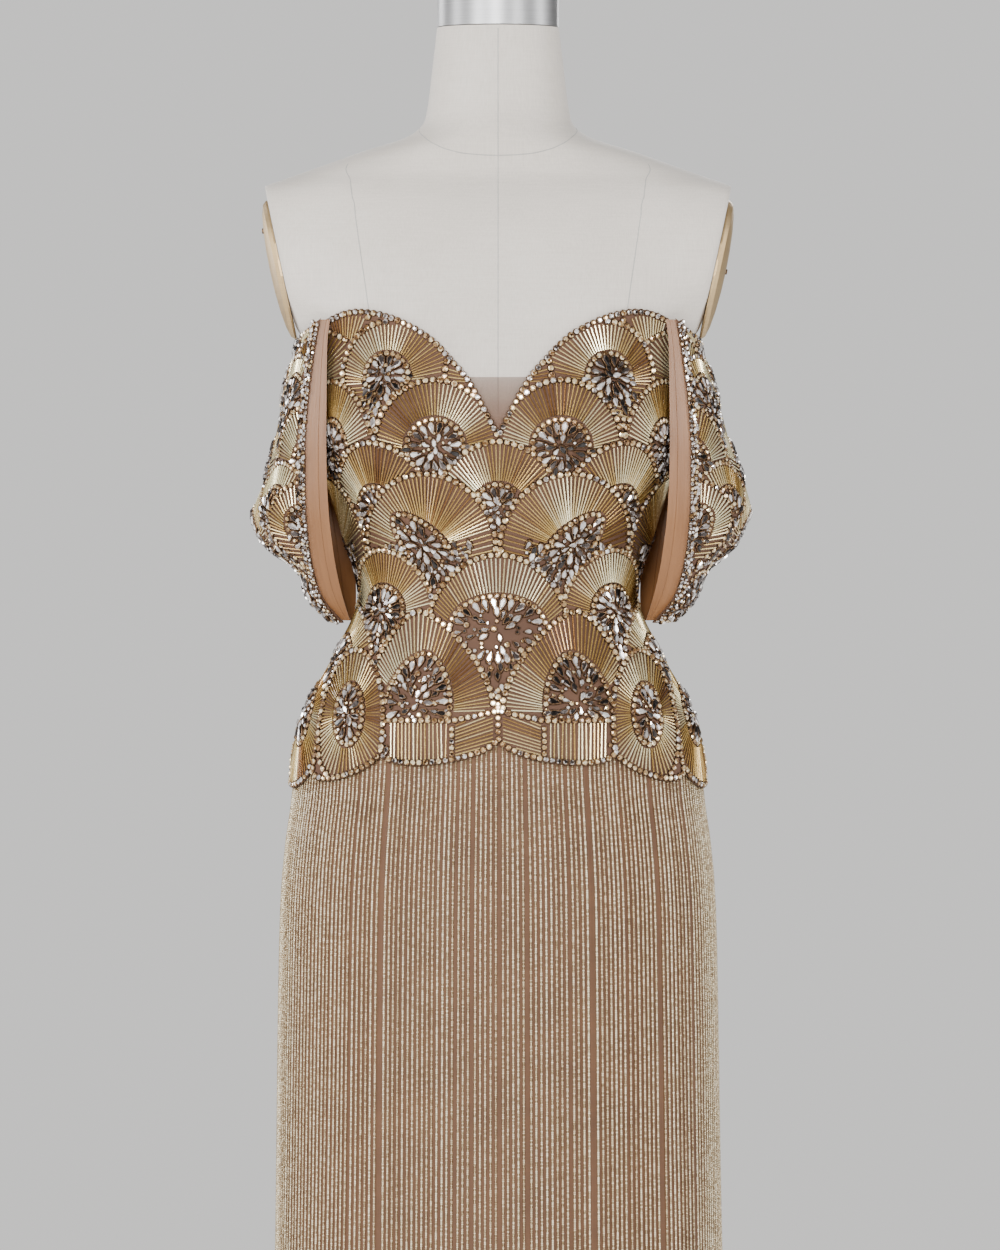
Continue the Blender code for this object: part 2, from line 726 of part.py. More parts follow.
def arm_plates(finish, collection):
    """Shallow domes over the form's arm flats."""
    profile = [(0.0, ARM_PLATE_DOME)]
    for step in range(1, 5):
        turn = step / 5 * math.pi / 2
        share = math.cos(turn)
        profile.append((ARM_PLATE_HALF_TALL * math.sin(turn), 2 * MM + (ARM_PLATE_DOME - 2 * MM) * share))
    profile += [(ARM_PLATE_HALF_TALL, 1.5 * MM), (ARM_PLATE_HALF_TALL, 0.0), (0.0, 0.0)]
    out = SEAT_GAP
    for side, name in ((-1, "left"), (1, "right")):
        plate = turned(f"arm_plate_{name}", profile, 26, finish, collection)
        plate.scale = (1.0, ARM_PLATE_HALF_DEEP / ARM_PLATE_HALF_TALL, 1.0)
        plate.rotation_euler = (0.0, side * (math.pi / 2 + ARM_PLATE_TILT), 0.0)
        plate.location = (
            side * (ARM_PLATE_OUT + out * math.cos(ARM_PLATE_TILT)),
            2 * MM,
            ARM_PLATE_HEIGHT - out * math.sin(ARM_PLATE_TILT),
        )


def neck_cap(finish, collection):
    """The metal band and shallow dome that close the neck."""
    foot = 0.0
    profile = [
        (0.0, NECK_CAP_BAND + NECK_CAP_DOME),
        (0.35 * NECK_CAP_RADIUS, NECK_CAP_BAND + 0.90 * NECK_CAP_DOME),
        (0.70 * NECK_CAP_RADIUS, NECK_CAP_BAND + 0.60 * NECK_CAP_DOME),
        (NECK_CAP_RADIUS - 1.5 * MM, NECK_CAP_BAND + 1.2 * MM),
        (NECK_CAP_RADIUS, NECK_CAP_BAND - 0.5 * MM),
        (NECK_CAP_RADIUS, foot + 0.5 * MM),
        (NECK_CAP_RADIUS - 0.5 * MM, foot),
        (0.0, foot),
    ]
    cap = turned("neck_cap", profile, 32, finish, collection)
    cap.location = (0.0, NECK_CAP_CENTRE_Y, NECK_TOP + SEAT_GAP)


def stand(finish, collection):
    """A plain round base with a hub, and the pole that carries the form."""
    profile = [
        (0.0, HUB_HEIGHT),
        (HUB_RADIUS - 8 * MM, HUB_HEIGHT),
        (HUB_RADIUS - 5 * MM, HUB_HEIGHT - 3 * MM),
        (HUB_RADIUS, BASE_THICK + 4 * MM),
        (HUB_RADIUS + 6 * MM, BASE_THICK),
        (BASE_RADIUS - 20 * MM, BASE_EDGE + 3 * MM),
        (BASE_RADIUS - 2 * MM, BASE_EDGE),
        (BASE_RADIUS, BASE_EDGE - 2 * MM),
        (BASE_RADIUS, 1 * MM),
        (BASE_RADIUS - 1 * MM, 0.0),
        (0.0, 0.0),
    ]
    turned("stand_base", profile, 32, finish, collection)
    pole_foot = HUB_HEIGHT + SEAT_GAP
    pole_top = FORM_BOTTOM - SEAT_GAP
    pole = [(0.0, pole_top), (POLE_RADIUS, pole_top), (POLE_RADIUS, pole_foot), (0.0, pole_foot)]
    turned("stand_pole", pole, 24, finish, collection)


# ---------------------------------------------------------------- assembly


def clear_scene():
    for old in list(bpy.data.objects):
        bpy.data.objects.remove(old)


def main():
    clear_scene()
    gown = bpy.data.collections.new("beaded_gown_on_dress_form")
    cutters = bpy.data.collections.new("cutters")
    bpy.context.scene.collection.children.link(gown)
    bpy.context.scene.collection.children.link(cutters)

    beaded = material("gold_beading", (0.52, 0.40, 0.23), 0.35, 0.6)
    seed_beads = material("seed_bead_cloth", (0.62, 0.48, 0.34), 0.45, 0.2)
    silk = material("nude_silk", (0.62, 0.40, 0.27), 0.55)
    tulle = material("nude_tulle", (0.66, 0.52, 0.45), 0.7)
    linen = material("form_linen", (0.78, 0.75, 0.72), 0.85)
    steel = material("brushed_steel", (0.62, 0.62, 0.64), 0.3, 1.0)
    gold_plate = material("gold_plate", (0.55, 0.42, 0.25), 0.4, 0.5)
    black_iron = material("black_iron", (0.03, 0.03, 0.03), 0.5, 0.3)

    side, back = math.pi / 2, math.pi
    seam = SEAM_GAP_ANGLE
    fronts, backs = FRONT_COLUMNS, BACK_COLUMNS
    bodice_panel("bodice_front", -side + seam, side - seam, fronts, 4, 20, beaded, gown)
    bodice_panel("bodice_back_right", side + seam, back - seam, backs, 4, 10, beaded, gown)
    bodice_panel("bodice_back_left", -back + seam, -side - seam, backs, 4, 10, beaded, gown)
    neck_mesh(tulle, gown)
    skirt_panel("skirt_front", -side + seam, side - seam, fronts, seed_beads, gown)
    skirt_panel("skirt_back_right", side + seam, back - seam, backs, seed_beads, gown)
    skirt_panel("skirt_back_left", -back + seam, -side - seam, backs, seed_beads, gown)
    for side, name in ((-1, "left"), (1, "right")):
        sleeve_panel(f"sleeve_{name}_panel", side, beaded, gown)
        sleeve_lining(f"sleeve_{name}_lining", side, silk, gown)
    zip_parts(steel, gown, cutters)

    torso(linen, gown, cutters)
    arm_plates(gold_plate, gown)
    neck_cap(steel, gown)
    stand(black_iron, gown)


main()
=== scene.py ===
"""The looks of a strapless beaded column gown with drop sleeves, shown on a limbless dress form.

Metres, +Z up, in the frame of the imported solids. The gown's front faces -Y. Right and left are
those of someone who looks at the front. A place on the gown is its distance round from centre
front, or from the middle of a sleeve, and its height.
"""

import logging
import random
from dataclasses import dataclass, field
from enum import Enum, IntEnum
from math import atan2, copysign, cos, dist, pi, radians, sin, tau
from typing import Callable, Iterable, Sequence

import bmesh
import bpy
import numpy as np
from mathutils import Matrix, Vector


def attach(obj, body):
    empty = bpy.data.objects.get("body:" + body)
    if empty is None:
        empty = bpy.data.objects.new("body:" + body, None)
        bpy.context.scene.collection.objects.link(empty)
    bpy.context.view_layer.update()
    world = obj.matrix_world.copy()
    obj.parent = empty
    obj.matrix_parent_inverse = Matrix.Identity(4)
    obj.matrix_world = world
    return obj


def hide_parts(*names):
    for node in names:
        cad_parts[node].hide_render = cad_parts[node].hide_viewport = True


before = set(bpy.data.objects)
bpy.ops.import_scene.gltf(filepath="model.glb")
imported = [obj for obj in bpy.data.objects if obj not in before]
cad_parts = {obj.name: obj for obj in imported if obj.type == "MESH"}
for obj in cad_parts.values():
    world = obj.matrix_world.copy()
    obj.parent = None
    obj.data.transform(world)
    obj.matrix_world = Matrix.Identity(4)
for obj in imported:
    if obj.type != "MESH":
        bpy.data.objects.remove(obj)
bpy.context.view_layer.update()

LOG = logging.getLogger("gown")
MM = 0.001
Array = np.ndarray
Colour = tuple[float, float, float]
Place = tuple[float, float]
Piece, Mesh = bpy.types.Object, bpy.types.Mesh
Material, Socket = bpy.types.Material, bpy.types.NodeSocket
Surface = Callable[[Array, Array], Array]

# ------------------------ sizes shared with the solids

FIT_GAP = 0.95 * MM  # bodice over form
OVER_SKIRT_GAP = 0.95 * MM
SKIRT_WALL = 1.5 * MM
SEAT_GAP = 0.4 * MM
SEAM_GAP_ANGLE = 0.0018
SKIRT_TOP = 1.020
SKIRT_HEM = 0.020
HIP_HEIGHT = 0.88
RING_SIZES = ("half_width", "front", "back")
FIT_FROM = 1.052
MESH_TOP = 1.2860
INSERT_WEAVE = (0.05, 0.045)  # how wide and tall the weave is laid out on the insert
LOBE_DROP = 15 * MM
BUST_HEIGHT = 1.236
BUST_ANGLE = radians(37)
BUST_RISE = 24 * MM
BUST_SPREAD_ANGLE = radians(22)
BUST_SPREAD_UP, BUST_SPREAD_DOWN = 44 * MM, 36 * MM
SKIRT_LEVELS = np.array(
    [SKIRT_HEM, 0.260, 0.490, 0.690, 0.825, 0.885, 0.920, 0.945, 0.970, 0.995, SKIRT_TOP, FIT_FROM]
)
HEM_WAVES = [(7, 2.6 * MM, 0.4), (11, 1.6 * MM, 1.9)]
WAVES_FADE_OUT_AT = 0.80
SLEEVE_TOP_DIP = 17.5 * MM


class Profile:
    """A table whose first column is the key, read with a smooth curve through its rows."""

    def __init__(self, names: str, rows: str | Sequence[Sequence[float]]) -> None:
        """Keeps the rows and the slope of each column at each row.

        Args:
            names: the columns' names, with spaces between.
            rows: the rows, as numbers or as lines of text.
        """
        self.names = names.split()
        lines = rows.strip().splitlines() if isinstance(rows, str) else []
        self.rows = np.array([line.split() for line in lines] or rows, float)
        keys, spots = self.rows[:, :1], np.arange(len(self.rows))
        before, after = np.maximum(spots - 1, 0), np.minimum(spots + 1, len(keys) - 1)
        self.slopes = (self.rows[after] - self.rows[before]) / (keys[after] - keys[before])

    def at(self, name: str, place: Array | float) -> Array:
        """Reads a column.

        Args:
            name: the column's name.
            place: keys, in an array of any shape.

        Returns:
            The column's values at those keys.
        """
        keys, values = self.rows[:, 0], self.rows[:, self.names.index(name)]
        slopes = self.slopes[:, self.names.index(name)]
        place = np.clip(place, keys[0], keys[-1])
        i = np.clip(np.searchsorted(keys, place, side="right") - 1, 0, len(keys) - 2)
        span, rise = keys[i + 1] - keys[i], values[i + 1] - values[i]
        t = (place - keys[i]) / span
        bend = (slopes[i] * span - rise) * (1 - t) + (rise - slopes[i + 1] * span) * t
        return values[i] + rise * t + t * (1 - t) * bend


FIGURE = Profile("height half_width front back", """
    0.7900 0.1380 0.0780 0.0920
    0.7960 0.1520 0.0880 0.1040
    0.8100 0.1600 0.0950 0.1120
    0.8400 0.1670 0.1000 0.1200
    0.8800 0.1710 0.1040 0.1260
    0.9200 0.1690 0.1060 0.1270
    0.9500 0.1655 0.1070 0.1250
    0.9800 0.1630 0.1065 0.1210
    1.0000 0.1575 0.1055 0.1170
    1.0200 0.1485 0.1030 0.1120
    1.0600 0.1280 0.0960 0.0980
    1.1000 0.1110 0.0910 0.0860
    1.1300 0.1150 0.0940 0.0840
    1.1600 0.1250 0.0980 0.0860
    1.1950 0.1380 0.1030 0.0910
    1.2350 0.1490 0.1070 0.0960
    1.2700 0.1530 0.1090 0.0990
    1.2980 0.1555 0.1080 0.1010
    1.3120 0.1585 0.1065 0.1015
    1.3230 0.1665 0.1040 0.1015
    1.3350 0.1765 0.1020 0.1010
    1.3550 0.1960 0.0970 0.1000
    1.3800 0.2120 0.0900 0.0970
    1.4050 0.2160 0.0820 0.0920
    1.4250 0.2100 0.0730 0.0840
    1.4370 0.1970 0.0660 0.0760
    1.4460 0.1720 0.0610 0.0700
    1.4570 0.1410 0.0590 0.0660
    1.4680 0.1100 0.0590 0.0640
    1.4780 0.0780 0.0590 0.0640
    1.4880 0.0630 0.0570 0.0640
    1.5000 0.0585 0.0540 0.0620
    1.5300 0.0545 0.0510 0.0580
    1.5690 0.0500 0.0475 0.0525
""")
SKIRT_HANG = Profile("height half_width front back", """
    0.0200 0.1960 0.1620 0.1660
    0.1500 0.1920 0.1535 0.1600
    0.3000 0.1875 0.1430 0.1525
    0.4500 0.1838 0.1335 0.1455
    0.5680 0.1815 0.1265 0.1410
    0.6500 0.1802 0.1220 0.1385
    0.7720 0.1785 0.1160 0.1345
    0.8540 0.1765 0.1110 0.1310
    0.8950 0.1732 0.1085 0.1285
    0.9360 0.1670 0.1060 0.1240
    1.0200 0.1400 0.0950 0.1050
""")
NECKLINE = Profile("degrees height", """
      0.0 1.2337
      8.4 1.2763
     14.5 1.2968
     20.3 1.3132
     28.3 1.3280
     36.0 1.3350
     44.0 1.3350
     56.0 1.3270
     72.0 1.3130
     90.0 1.3060
    120.0 1.2970
    150.0 1.2890
    180.0 1.2860
""")
NOTCHES = Profile("degrees height", """
      0.0 0.9870
     35.0 0.9760
     65.0 0.9630
     96.0 0.9610
    126.0 0.9610
    156.0 0.9610
    180.0 0.9610
""")
SLEEVE = Profile("height edge left_out right_out half_depth front_turned back_turned", """
    1.0815 0.1270 0.1350 0.1420 0.0290 0.1210 0.1180
    1.1000 0.1420 0.1530 0.1595 0.0450 0.1265 0.1170
    1.1250 0.1500 0.1640 0.1710 0.0590 0.1320 0.1180
    1.1460 0.1535 0.1890 0.1925 0.0660 0.1350 0.1205
    1.1620 0.1550 0.1980 0.2005 0.0695 0.1370 0.1235
    1.1750 0.1558 0.1990 0.2055 0.0710 0.1380 0.1270
    1.1980 0.1562 0.1900 0.2000 0.0725 0.1392 0.1320
    1.2310 0.1560 0.1815 0.1880 0.0735 0.1396 0.1370
    1.2640 0.1535 0.1755 0.1790 0.0730 0.1394 0.1385
    1.2890 0.1505 0.1695 0.1715 0.0720 0.1392 0.1385
    1.3130 0.1470 0.1650 0.1655 0.0710 0.1385 0.1380
    1.3290 0.1440 0.1640 0.1640 0.0700 0.1365 0.1365
""")

# ------------------------ surfaces


class Side(Enum):
    """Which half of the gown, as the sign of its x."""

    LEFT = -1
    RIGHT = 1

    @property
    def word(self) -> str:
        """The side's name in the solids' names."""
        return self.name.lower()


def normalised(vectors: Array) -> Array:
    """The same vectors with unit length."""
    return vectors / np.maximum(np.linalg.norm(vectors, axis=-1, keepdims=True), 1e-12)


def eased(low: float, high: float, value: Array) -> Array:
    """0 at low, 1 at high, and smooth between."""
    t = np.clip((value - low) / (high - low), 0, 1)
    return t * t * (3 - 2 * t)


def ring(angle: Array, height: Array, half_width: Array, front: Array, back: Array) -> Array:
    """Points of a body-like ring: angle 0 is centre front, and positive towards +X."""
    depth = np.where(np.cos(angle) > 0, front, back)
    parts = (half_width * np.sin(angle), -depth * np.cos(angle), height)
    return np.stack(np.broadcast_arrays(*parts), -1)


def away(angle: Array) -> Array:
    """The level direction away from the pole at an angle."""
    return np.stack([np.sin(angle), -np.cos(angle), np.zeros_like(angle)], -1)


def figure(angle: Array, height: Array) -> Array:
    """Points of the form's skin.

    Args:
        angle: angles round the body, in radians.
        height: heights, of the same shape.

    Returns:
        The points, with a last axis of three.
    """
    spread = np.where(height > BUST_HEIGHT, BUST_SPREAD_UP, BUST_SPREAD_DOWN)
    up = np.exp(-(((height - BUST_HEIGHT) / spread) ** 2))
    turns = ((angle - side * BUST_ANGLE) / BUST_SPREAD_ANGLE for side in (-1, 1))
    across = sum(np.exp(-(turn**2)) for turn in turns)
    plain = ring(angle, height, *(FIGURE.at(name, height) for name in RING_SIZES))
    return plain + away(angle) * (BUST_RISE * up * across)[..., None]


def skirt(angle: Array, height: Array) -> Array:
    """Points of the skirt's inner face: it lies on the hip, and hangs straight below it.

    Args:
        angle: angles round the body.
        height: heights, of the same shape.

    Returns:
        The points.
    """
    sizes = []
    for name in RING_SIZES:
        on_form = FIGURE.at(name, np.maximum(height, HIP_HEIGHT)) + SEAT_GAP
        sizes.append(np.maximum(on_form, SKIRT_HANG.at(name, height)))
    freedom = 1 - eased(SKIRT_HEM, WAVES_FADE_OUT_AT, height)
    waves = (depth * np.cos(count * angle + phase) for count, depth, phase in HEM_WAVES)
    wave = sum(waves) * freedom
    return ring(angle, height, *sizes) + away(angle) * wave[..., None]


def tangents(
    surface: Surface, across: Array, height: Array, step: float = 1e-4
) -> tuple[Array, Array, Array]:
    """The frame of a surface at some places.

    Args:
        surface: a function of two arrays.
        across: its first argument.
        height: its second argument.
        step: how far to look to each side.

    Returns:
        Unit vectors across, up and out.
    """
    side = surface(across + step, height) - surface(across - step, height)
    up = surface(across, height + step) - surface(across, height - step)
    out = normalised(np.cross(side, up))
    side = normalised(side)
    return side, np.cross(out, side), out


def moved_out(surface: Surface, across: Array, height: Array, distance: Array | float) -> Array:
    """Points at a distance from a surface, along its normal."""
    out = tangents(surface, across, height)[2]
    return surface(across, height) + out * np.asarray(distance)[..., None]


def bodice(angle: Array, height: Array, distance: float = 0.0) -> Array:
    """Points over the bodice's inner face: it follows the form, and below that the skirt's top.

    Args:
        angle: angles round the body.
        height: heights, of the same shape.
        distance: how far out of the inner face.

    Returns:
        The points.
    """
    angle, height = np.broadcast_arrays(np.asarray(angle, float), np.asarray(height, float))

    def node(level: Array) -> Array:
        """The points at the nearest of the skirt's levels."""
        on_form = moved_out(figure, angle, level, FIT_GAP + distance)
        on_skirt = moved_out(skirt, angle, level, SKIRT_WALL + OVER_SKIRT_GAP + distance)
        return np.where((level > SKIRT_TOP)[..., None], on_form, on_skirt)

    below = np.searchsorted(SKIRT_LEVELS, height, side="right") - 1
    below = np.clip(below, 0, len(SKIRT_LEVELS) - 2)
    low, high = SKIRT_LEVELS[below], SKIRT_LEVELS[below + 1]
    share = np.clip((height - low) / (high - low), 0, 1)[..., None]
    over = node(low) * (1 - share) + node(high) * share
    fitted = moved_out(figure, angle, height, FIT_GAP + distance)
    return np.where((height < FIT_FROM)[..., None], over, fitted)


def neckline(angle: Array) -> Array:
    """The height of the bodice's upper edge."""
    return NECKLINE.at("height", np.abs(np.degrees(angle)))


def scalloped_hem(angle: Array) -> Array:
    """The height of the bodice's lower edge: round lobes between notches."""
    degrees = np.abs(np.degrees(angle))
    marks = NOTCHES.rows[:, 0]
    i = np.clip(np.searchsorted(marks, degrees, side="right") - 1, 0, len(marks) - 2)
    across = 2 * (degrees - marks[i]) / (marks[i + 1] - marks[i]) - 1
    return NOTCHES.at("height", degrees) - LOBE_DROP * np.sqrt(np.maximum(0, 1 - across**2))


def sleeve_face(out: str) -> Surface:
    """The outer face of a sleeve's cloth, from its front edge at -1 to its back edge at 1.

    Args:
        out: the column of SLEEVE that says how far out it goes.

    Returns:
        The surface.
    """

    def face(across: Array, height: Array) -> Array:
        """The points at some places round the sleeve."""
        edge, outer, half_depth = (SLEEVE.at(name, height) for name in ("edge", out, "half_depth"))
        turn = across * pi / 2
        x = edge + (outer - edge) * np.cos(turn)
        return np.stack([x, half_depth * np.sin(turn), height + 0 * turn], -1)

    return face


def sleeve_top(across: Array) -> Array:
    """The height of the sleeve's upper edge, which dips under the arm plate."""
    return SLEEVE.rows[-1, 0] - SLEEVE_TOP_DIP * np.cos(across * pi / 2)


# ------------------------ grounds that beads lie on


@dataclass
class Dome:
    """A padded place under crystals: its middle, half sizes and rise."""

    across: float
    height: float
    wide: float
    tall: float
    rise: float


class Ground:
    """A cloth that beads lie on, measured along its outer face."""

    ROWS, COLUMNS = 70, 181

    def __init__(
        self, face: Surface, lows: tuple[float, float], highs: tuple[float, float], mirror: int = 1
    ) -> None:
        """Measures the cloth along level lines.

        Args:
            face: the cloth's outer face, from a place across and a height.
            lows, highs: the range of both.
            mirror: -1 turns the piece to the other side of the body.
        """
        self.face, self.mirror = face, mirror
        self.domes: list[Dome] = []
        self.across = np.linspace(lows[0], highs[0], self.COLUMNS)
        self.heights = np.linspace(lows[1], highs[1], self.ROWS)
        grid = face(*np.meshgrid(self.across, self.heights))
        steps = np.linalg.norm(np.diff(grid, axis=1), axis=-1)
        self.lengths = np.concatenate([np.zeros((self.ROWS, 1)), np.cumsum(steps, axis=1)], axis=1)
        self.lengths -= self.lengths[:, self.COLUMNS // 2][:, None]

    def row(self, height: float) -> Array:
        """The distances of the columns from the middle, at a height."""
        spot = (height - self.heights[0]) / (self.heights[1] - self.heights[0])
        below = int(min(max(spot, 0), self.ROWS - 2))
        share = min(max(spot - below, 0), 1)
        return self.lengths[below] * (1 - share) + self.lengths[below + 1] * share

    def reach(self, height: float) -> float:
        """How far the cloth goes from its middle, at a height."""
        return float(self.row(height)[-1])

    def across_at(self, distance: float, height: float) -> float:
        """The place across that lies a distance from the middle."""
        return float(np.interp(distance, self.row(height), self.across))

    def distance_at(self, across: float, height: float) -> float:
        """The distance from the middle of a place across."""
        return float(np.interp(across, self.across, self.row(height)))

    def distances(self, across: Array, height: Array) -> Array:
        """The distances from the middle of many places across."""
        i = (height - self.heights[0]) / (self.heights[1] - self.heights[0])
        j = (across - self.across[0]) / (self.across[1] - self.across[0])
        i, j = np.clip(i, 0, self.ROWS - 1.001), np.clip(j, 0, self.COLUMNS - 1.001)
        low, left = i.astype(int), j.astype(int)
        up, right = i - low, j - left
        near, far = (
            self.lengths[row, left] * (1 - right) + self.lengths[row, left + 1] * right
            for row in (low, low + 1)
        )
        return near * (1 - up) + far * up

    def rise(self, distance: Array, height: Array) -> Array:
        """How far the padding lifts the cloth at some places."""
        total = np.zeros(np.shape(distance))
        for dome in self.domes:
            x, y = (distance - dome.across) / dome.wide, (height - dome.height) / dome.tall
            total = np.maximum(total, dome.rise * np.maximum(0, 1 - (x**2 + y**2)) ** 1.2)
        return total

    def on_face(self, places: Array) -> tuple[Array, Array, Array, Array]:
        """Where some places are in space.

        Args:
            places: distance and height of each, in two columns.

        Returns:
            The points, and unit vectors across, up and out.
        """
        places = np.asarray(places, float).reshape(-1, 2)
        across = np.array([self.across_at(*place) for place in places])
        points = self.face(across, places[:, 1])
        side, up, out = tangents(self.face, across, places[:, 1])
        step = 0.5 * MM
        x, y = places.T
        lean_x = (self.rise(x + step, y) - self.rise(x - step, y)) / (2 * step)
        lean_y = (self.rise(x, y + step) - self.rise(x, y - step)) / (2 * step)
        points = points + out * self.rise(x, y)[:, None]
        out = normalised(out - side * lean_x[:, None] - up * lean_y[:, None])
        side = normalised(np.cross(up, out))
        up = np.cross(out, side)
        if self.mirror < 0:
            flip = np.array([-1.0, 1.0, 1.0])
            points, side, up, out = points * flip, side * flip, up * flip, out * flip
        return points, side, up, out


# ------------------------ finishes


class Recipe:
    """A material that is built up node by node."""

    def __init__(self, name: str, **constants: float | Colour) -> None:
        """Starts a material.

        Args:
            name: its name.
            constants: the shader's own values: coat_weight stands for Coat Weight.
        """
        self.material = bpy.data.materials.new(name)
        self.material.use_nodes = True
        self.tree = self.material.node_tree
        self.shader = self.tree.nodes["Principled BSDF"]
        for key, value in constants.items():
            socket = self.shader.inputs[key.replace("_", " ").title().replace("Ior", "IOR")]
            socket.default_value = (*value, 1.0) if isinstance(value, tuple) else value

    def add(self, kind: str, feeds: dict | None = None, **settings: object) -> bpy.types.Node:
        """Adds a node.

        Args:
            kind: the node's type, without its ShaderNode.
            feeds: a socket or a value for each of its inputs, by name or number.
            settings: the node's own settings.

        Returns:
            The node.
        """
        made = self.tree.nodes.new("ShaderNode" + kind)
        for key, value in settings.items():
            setattr(made, key, value)
        for key, value in (feeds or {}).items():
            self.feed(made.inputs[key], value)
        return made

    def feed(self, socket: Socket, value: object) -> None:
        """Links a socket, or sets its value."""
        if isinstance(value, Socket):
            self.tree.links.new(value, socket)
        else:
            socket.default_value = value

    def object_place(self) -> Socket:
        """The place on the object, in metres."""
        return self.add("TexCoord").outputs["Object"]

    def cloth_place(self) -> Socket:
        """The place on the cloth, in metres along and up."""
        return self.add("UVMap", uv_map="cloth").outputs["UV"]

    def tone(self) -> Socket:
        """The piece's light or dark, from 0 to 1: on bugles and cut stones it carries painted
        light, shade and glints.
        """
        return self.add("Attribute", attribute_name="tone").outputs["Fac"]

    def scaled(self, place: Socket, x: float, y: float, z: float) -> Socket:
        """A place with each axis scaled."""
        return self.add("Mapping", {"Vector": place, "Scale": (x, y, z)}).outputs["Vector"]

    def noise(self, place: Socket, scale: float, detail: float = 2.0) -> Socket:
        """Soft noise, from 0 to 1."""
        made = self.add("TexNoise", {"Vector": place, "Scale": scale, "Detail": detail})
        return made.outputs["Fac"]

    def sum_up(self, work: str, first: object, second: object = 0.5, third: object = 0.5) -> Socket:
        """One Math node."""
        return self.add("Math", {0: first, 1: second, 2: third}, operation=work).outputs[0]

    def wave(self, value: Socket, turns: float) -> Socket:
        """The sine of a value times a number of radians."""
        return self.sum_up("SINE", self.sum_up("MULTIPLY", value, turns))

    def blend(self, first: Socket, share: float, second: Socket, other: float) -> Socket:
        """The sum of two values, each times its own share."""
        return self.sum_up("MULTIPLY_ADD", first, share, self.sum_up("MULTIPLY", second, other))

    def clouded(self, cloud: Socket, swing: float) -> Socket:
        """The piece's tone, made uneven by noise."""
        middle = self.sum_up("SUBTRACT", self.tone(), swing / 2)
        return self.sum_up("MULTIPLY_ADD", cloud, swing, middle)

    def spread(self, value: Socket, low: float, high: float) -> Socket:
        """A value from 0 to 1, spread between two others."""
        made = self.add("MapRange", {"Value": value, "To Min": low, "To Max": high})
        return made.outputs["Result"]

    def ramp(self, value: Socket, stops: Sequence[tuple[float, Colour]]) -> Socket:
        """A colour read off a ramp.

        Args:
            value: the place on it, from 0 to 1.
            stops: its places and their colours.

        Returns:
            The colour.
        """
        made = self.add("ValToRGB", {"Fac": value})
        points = made.color_ramp.elements
        while len(points) < len(stops):
            points.new(0.5)
        for point, (place, colour) in zip(points, stops):
            point.position = place
            point.color = (*colour, 1.0)
        return made.outputs["Color"]

    def colour(self, value: Socket, *stops: tuple[float, Colour]) -> None:
        """Feeds the base colour, read off a ramp."""
        self.feed(self.shader.inputs["Base Color"], self.ramp(value, stops))

    def roughness(self, value: Socket, low: float, high: float) -> None:
        """Feeds the roughness, spread between two values."""
        self.feed(self.shader.inputs["Roughness"], self.spread(value, low, high))

    def bump(self, height: Socket, strength: float, depth: float) -> None:
        """Feeds the normal with bump of a depth in metres."""
        made = self.add("Bump", {"Height": height, "Strength": strength, "Distance": depth})
        self.feed(self.shader.inputs["Normal"], made.outputs["Normal"])


@dataclass(frozen=True)
class FoiledGlass:
    """Glass with metal behind it. Each tube or facet takes its colour from a tone of its own:
    painted glints on facets, painted light and shade on bugles.

    Args:
        stops: its colours, from the darkest tone to the palest.
        coat: weight and roughness of the glass over the metal.
        grain: scale and detail of its unevenness.
        swing: how much that changes the tone.
        gloss: the least and the most roughness.
    """

    name: str
    stops: tuple
    metallic: float
    coat: tuple[float, float] = (0.6, 0.03)
    grain: tuple[float, float] = (700, 1)
    swing: float = 0.3
    gloss: tuple[float, float] = (0.04, 0.16)

    def make(self) -> Material:
        """Builds the material."""
        weight, rough = self.coat
        mix = Recipe(self.name, metallic=self.metallic, coat_weight=weight, coat_roughness=rough)
        cloud = mix.noise(mix.object_place(), *self.grain)
        mix.colour(mix.clouded(cloud, self.swing), *self.stops)
        mix.roughness(cloud, *self.gloss)
        return mix.material


BUGLE_GOLD = FoiledGlass(
    "bugle_gold",
    (
        (0.0, (0.055, 0.020, 0.004)),
        (0.3, (0.20, 0.085, 0.016)),
        (0.6, (0.53, 0.345, 0.105)),
        (1.0, (1.0, 0.92, 0.60)),
    ),
    metallic=0.65, coat=(0.5, 0.08), grain=(900, 2), swing=0.22, gloss=(0.16, 0.34),
)
SMOKE = FoiledGlass(
    "smoke_crystal",
    (
        (0.0, (0.010, 0.008, 0.007)),
        (0.38, (0.095, 0.074, 0.068)),
        (0.66, (0.50, 0.45, 0.43)),
        (1.0, (1.0, 0.98, 0.96)),
    ),
    metallic=0.5,
)
TOPAZ = FoiledGlass(
    "champagne_stone",
    (
        (0.0, (0.035, 0.013, 0.004)),
        (0.35, (0.23, 0.115, 0.042)),
        (0.7, (0.56, 0.38, 0.18)),
        (1.0, (0.98, 0.84, 0.56)),
    ),
    metallic=0.4,
)


@dataclass(frozen=True)
class DarkSetting:
    """The darkened brass cup under a stone, whose flared foot also makes a dark ring round it:
    painted shade between crystals.
    """

    name: str = "dark_setting"

    def make(self) -> Material:
        """Builds the material."""
        mix = Recipe(self.name, metallic=0.9)
        worn = mix.noise(mix.object_place(), 1200, 3)
        mix.colour(worn, (0.35, (0.045, 0.022, 0.012)), (0.7, (0.24, 0.14, 0.07)))
        mix.roughness(worn, 0.3, 0.55)
        return mix.material


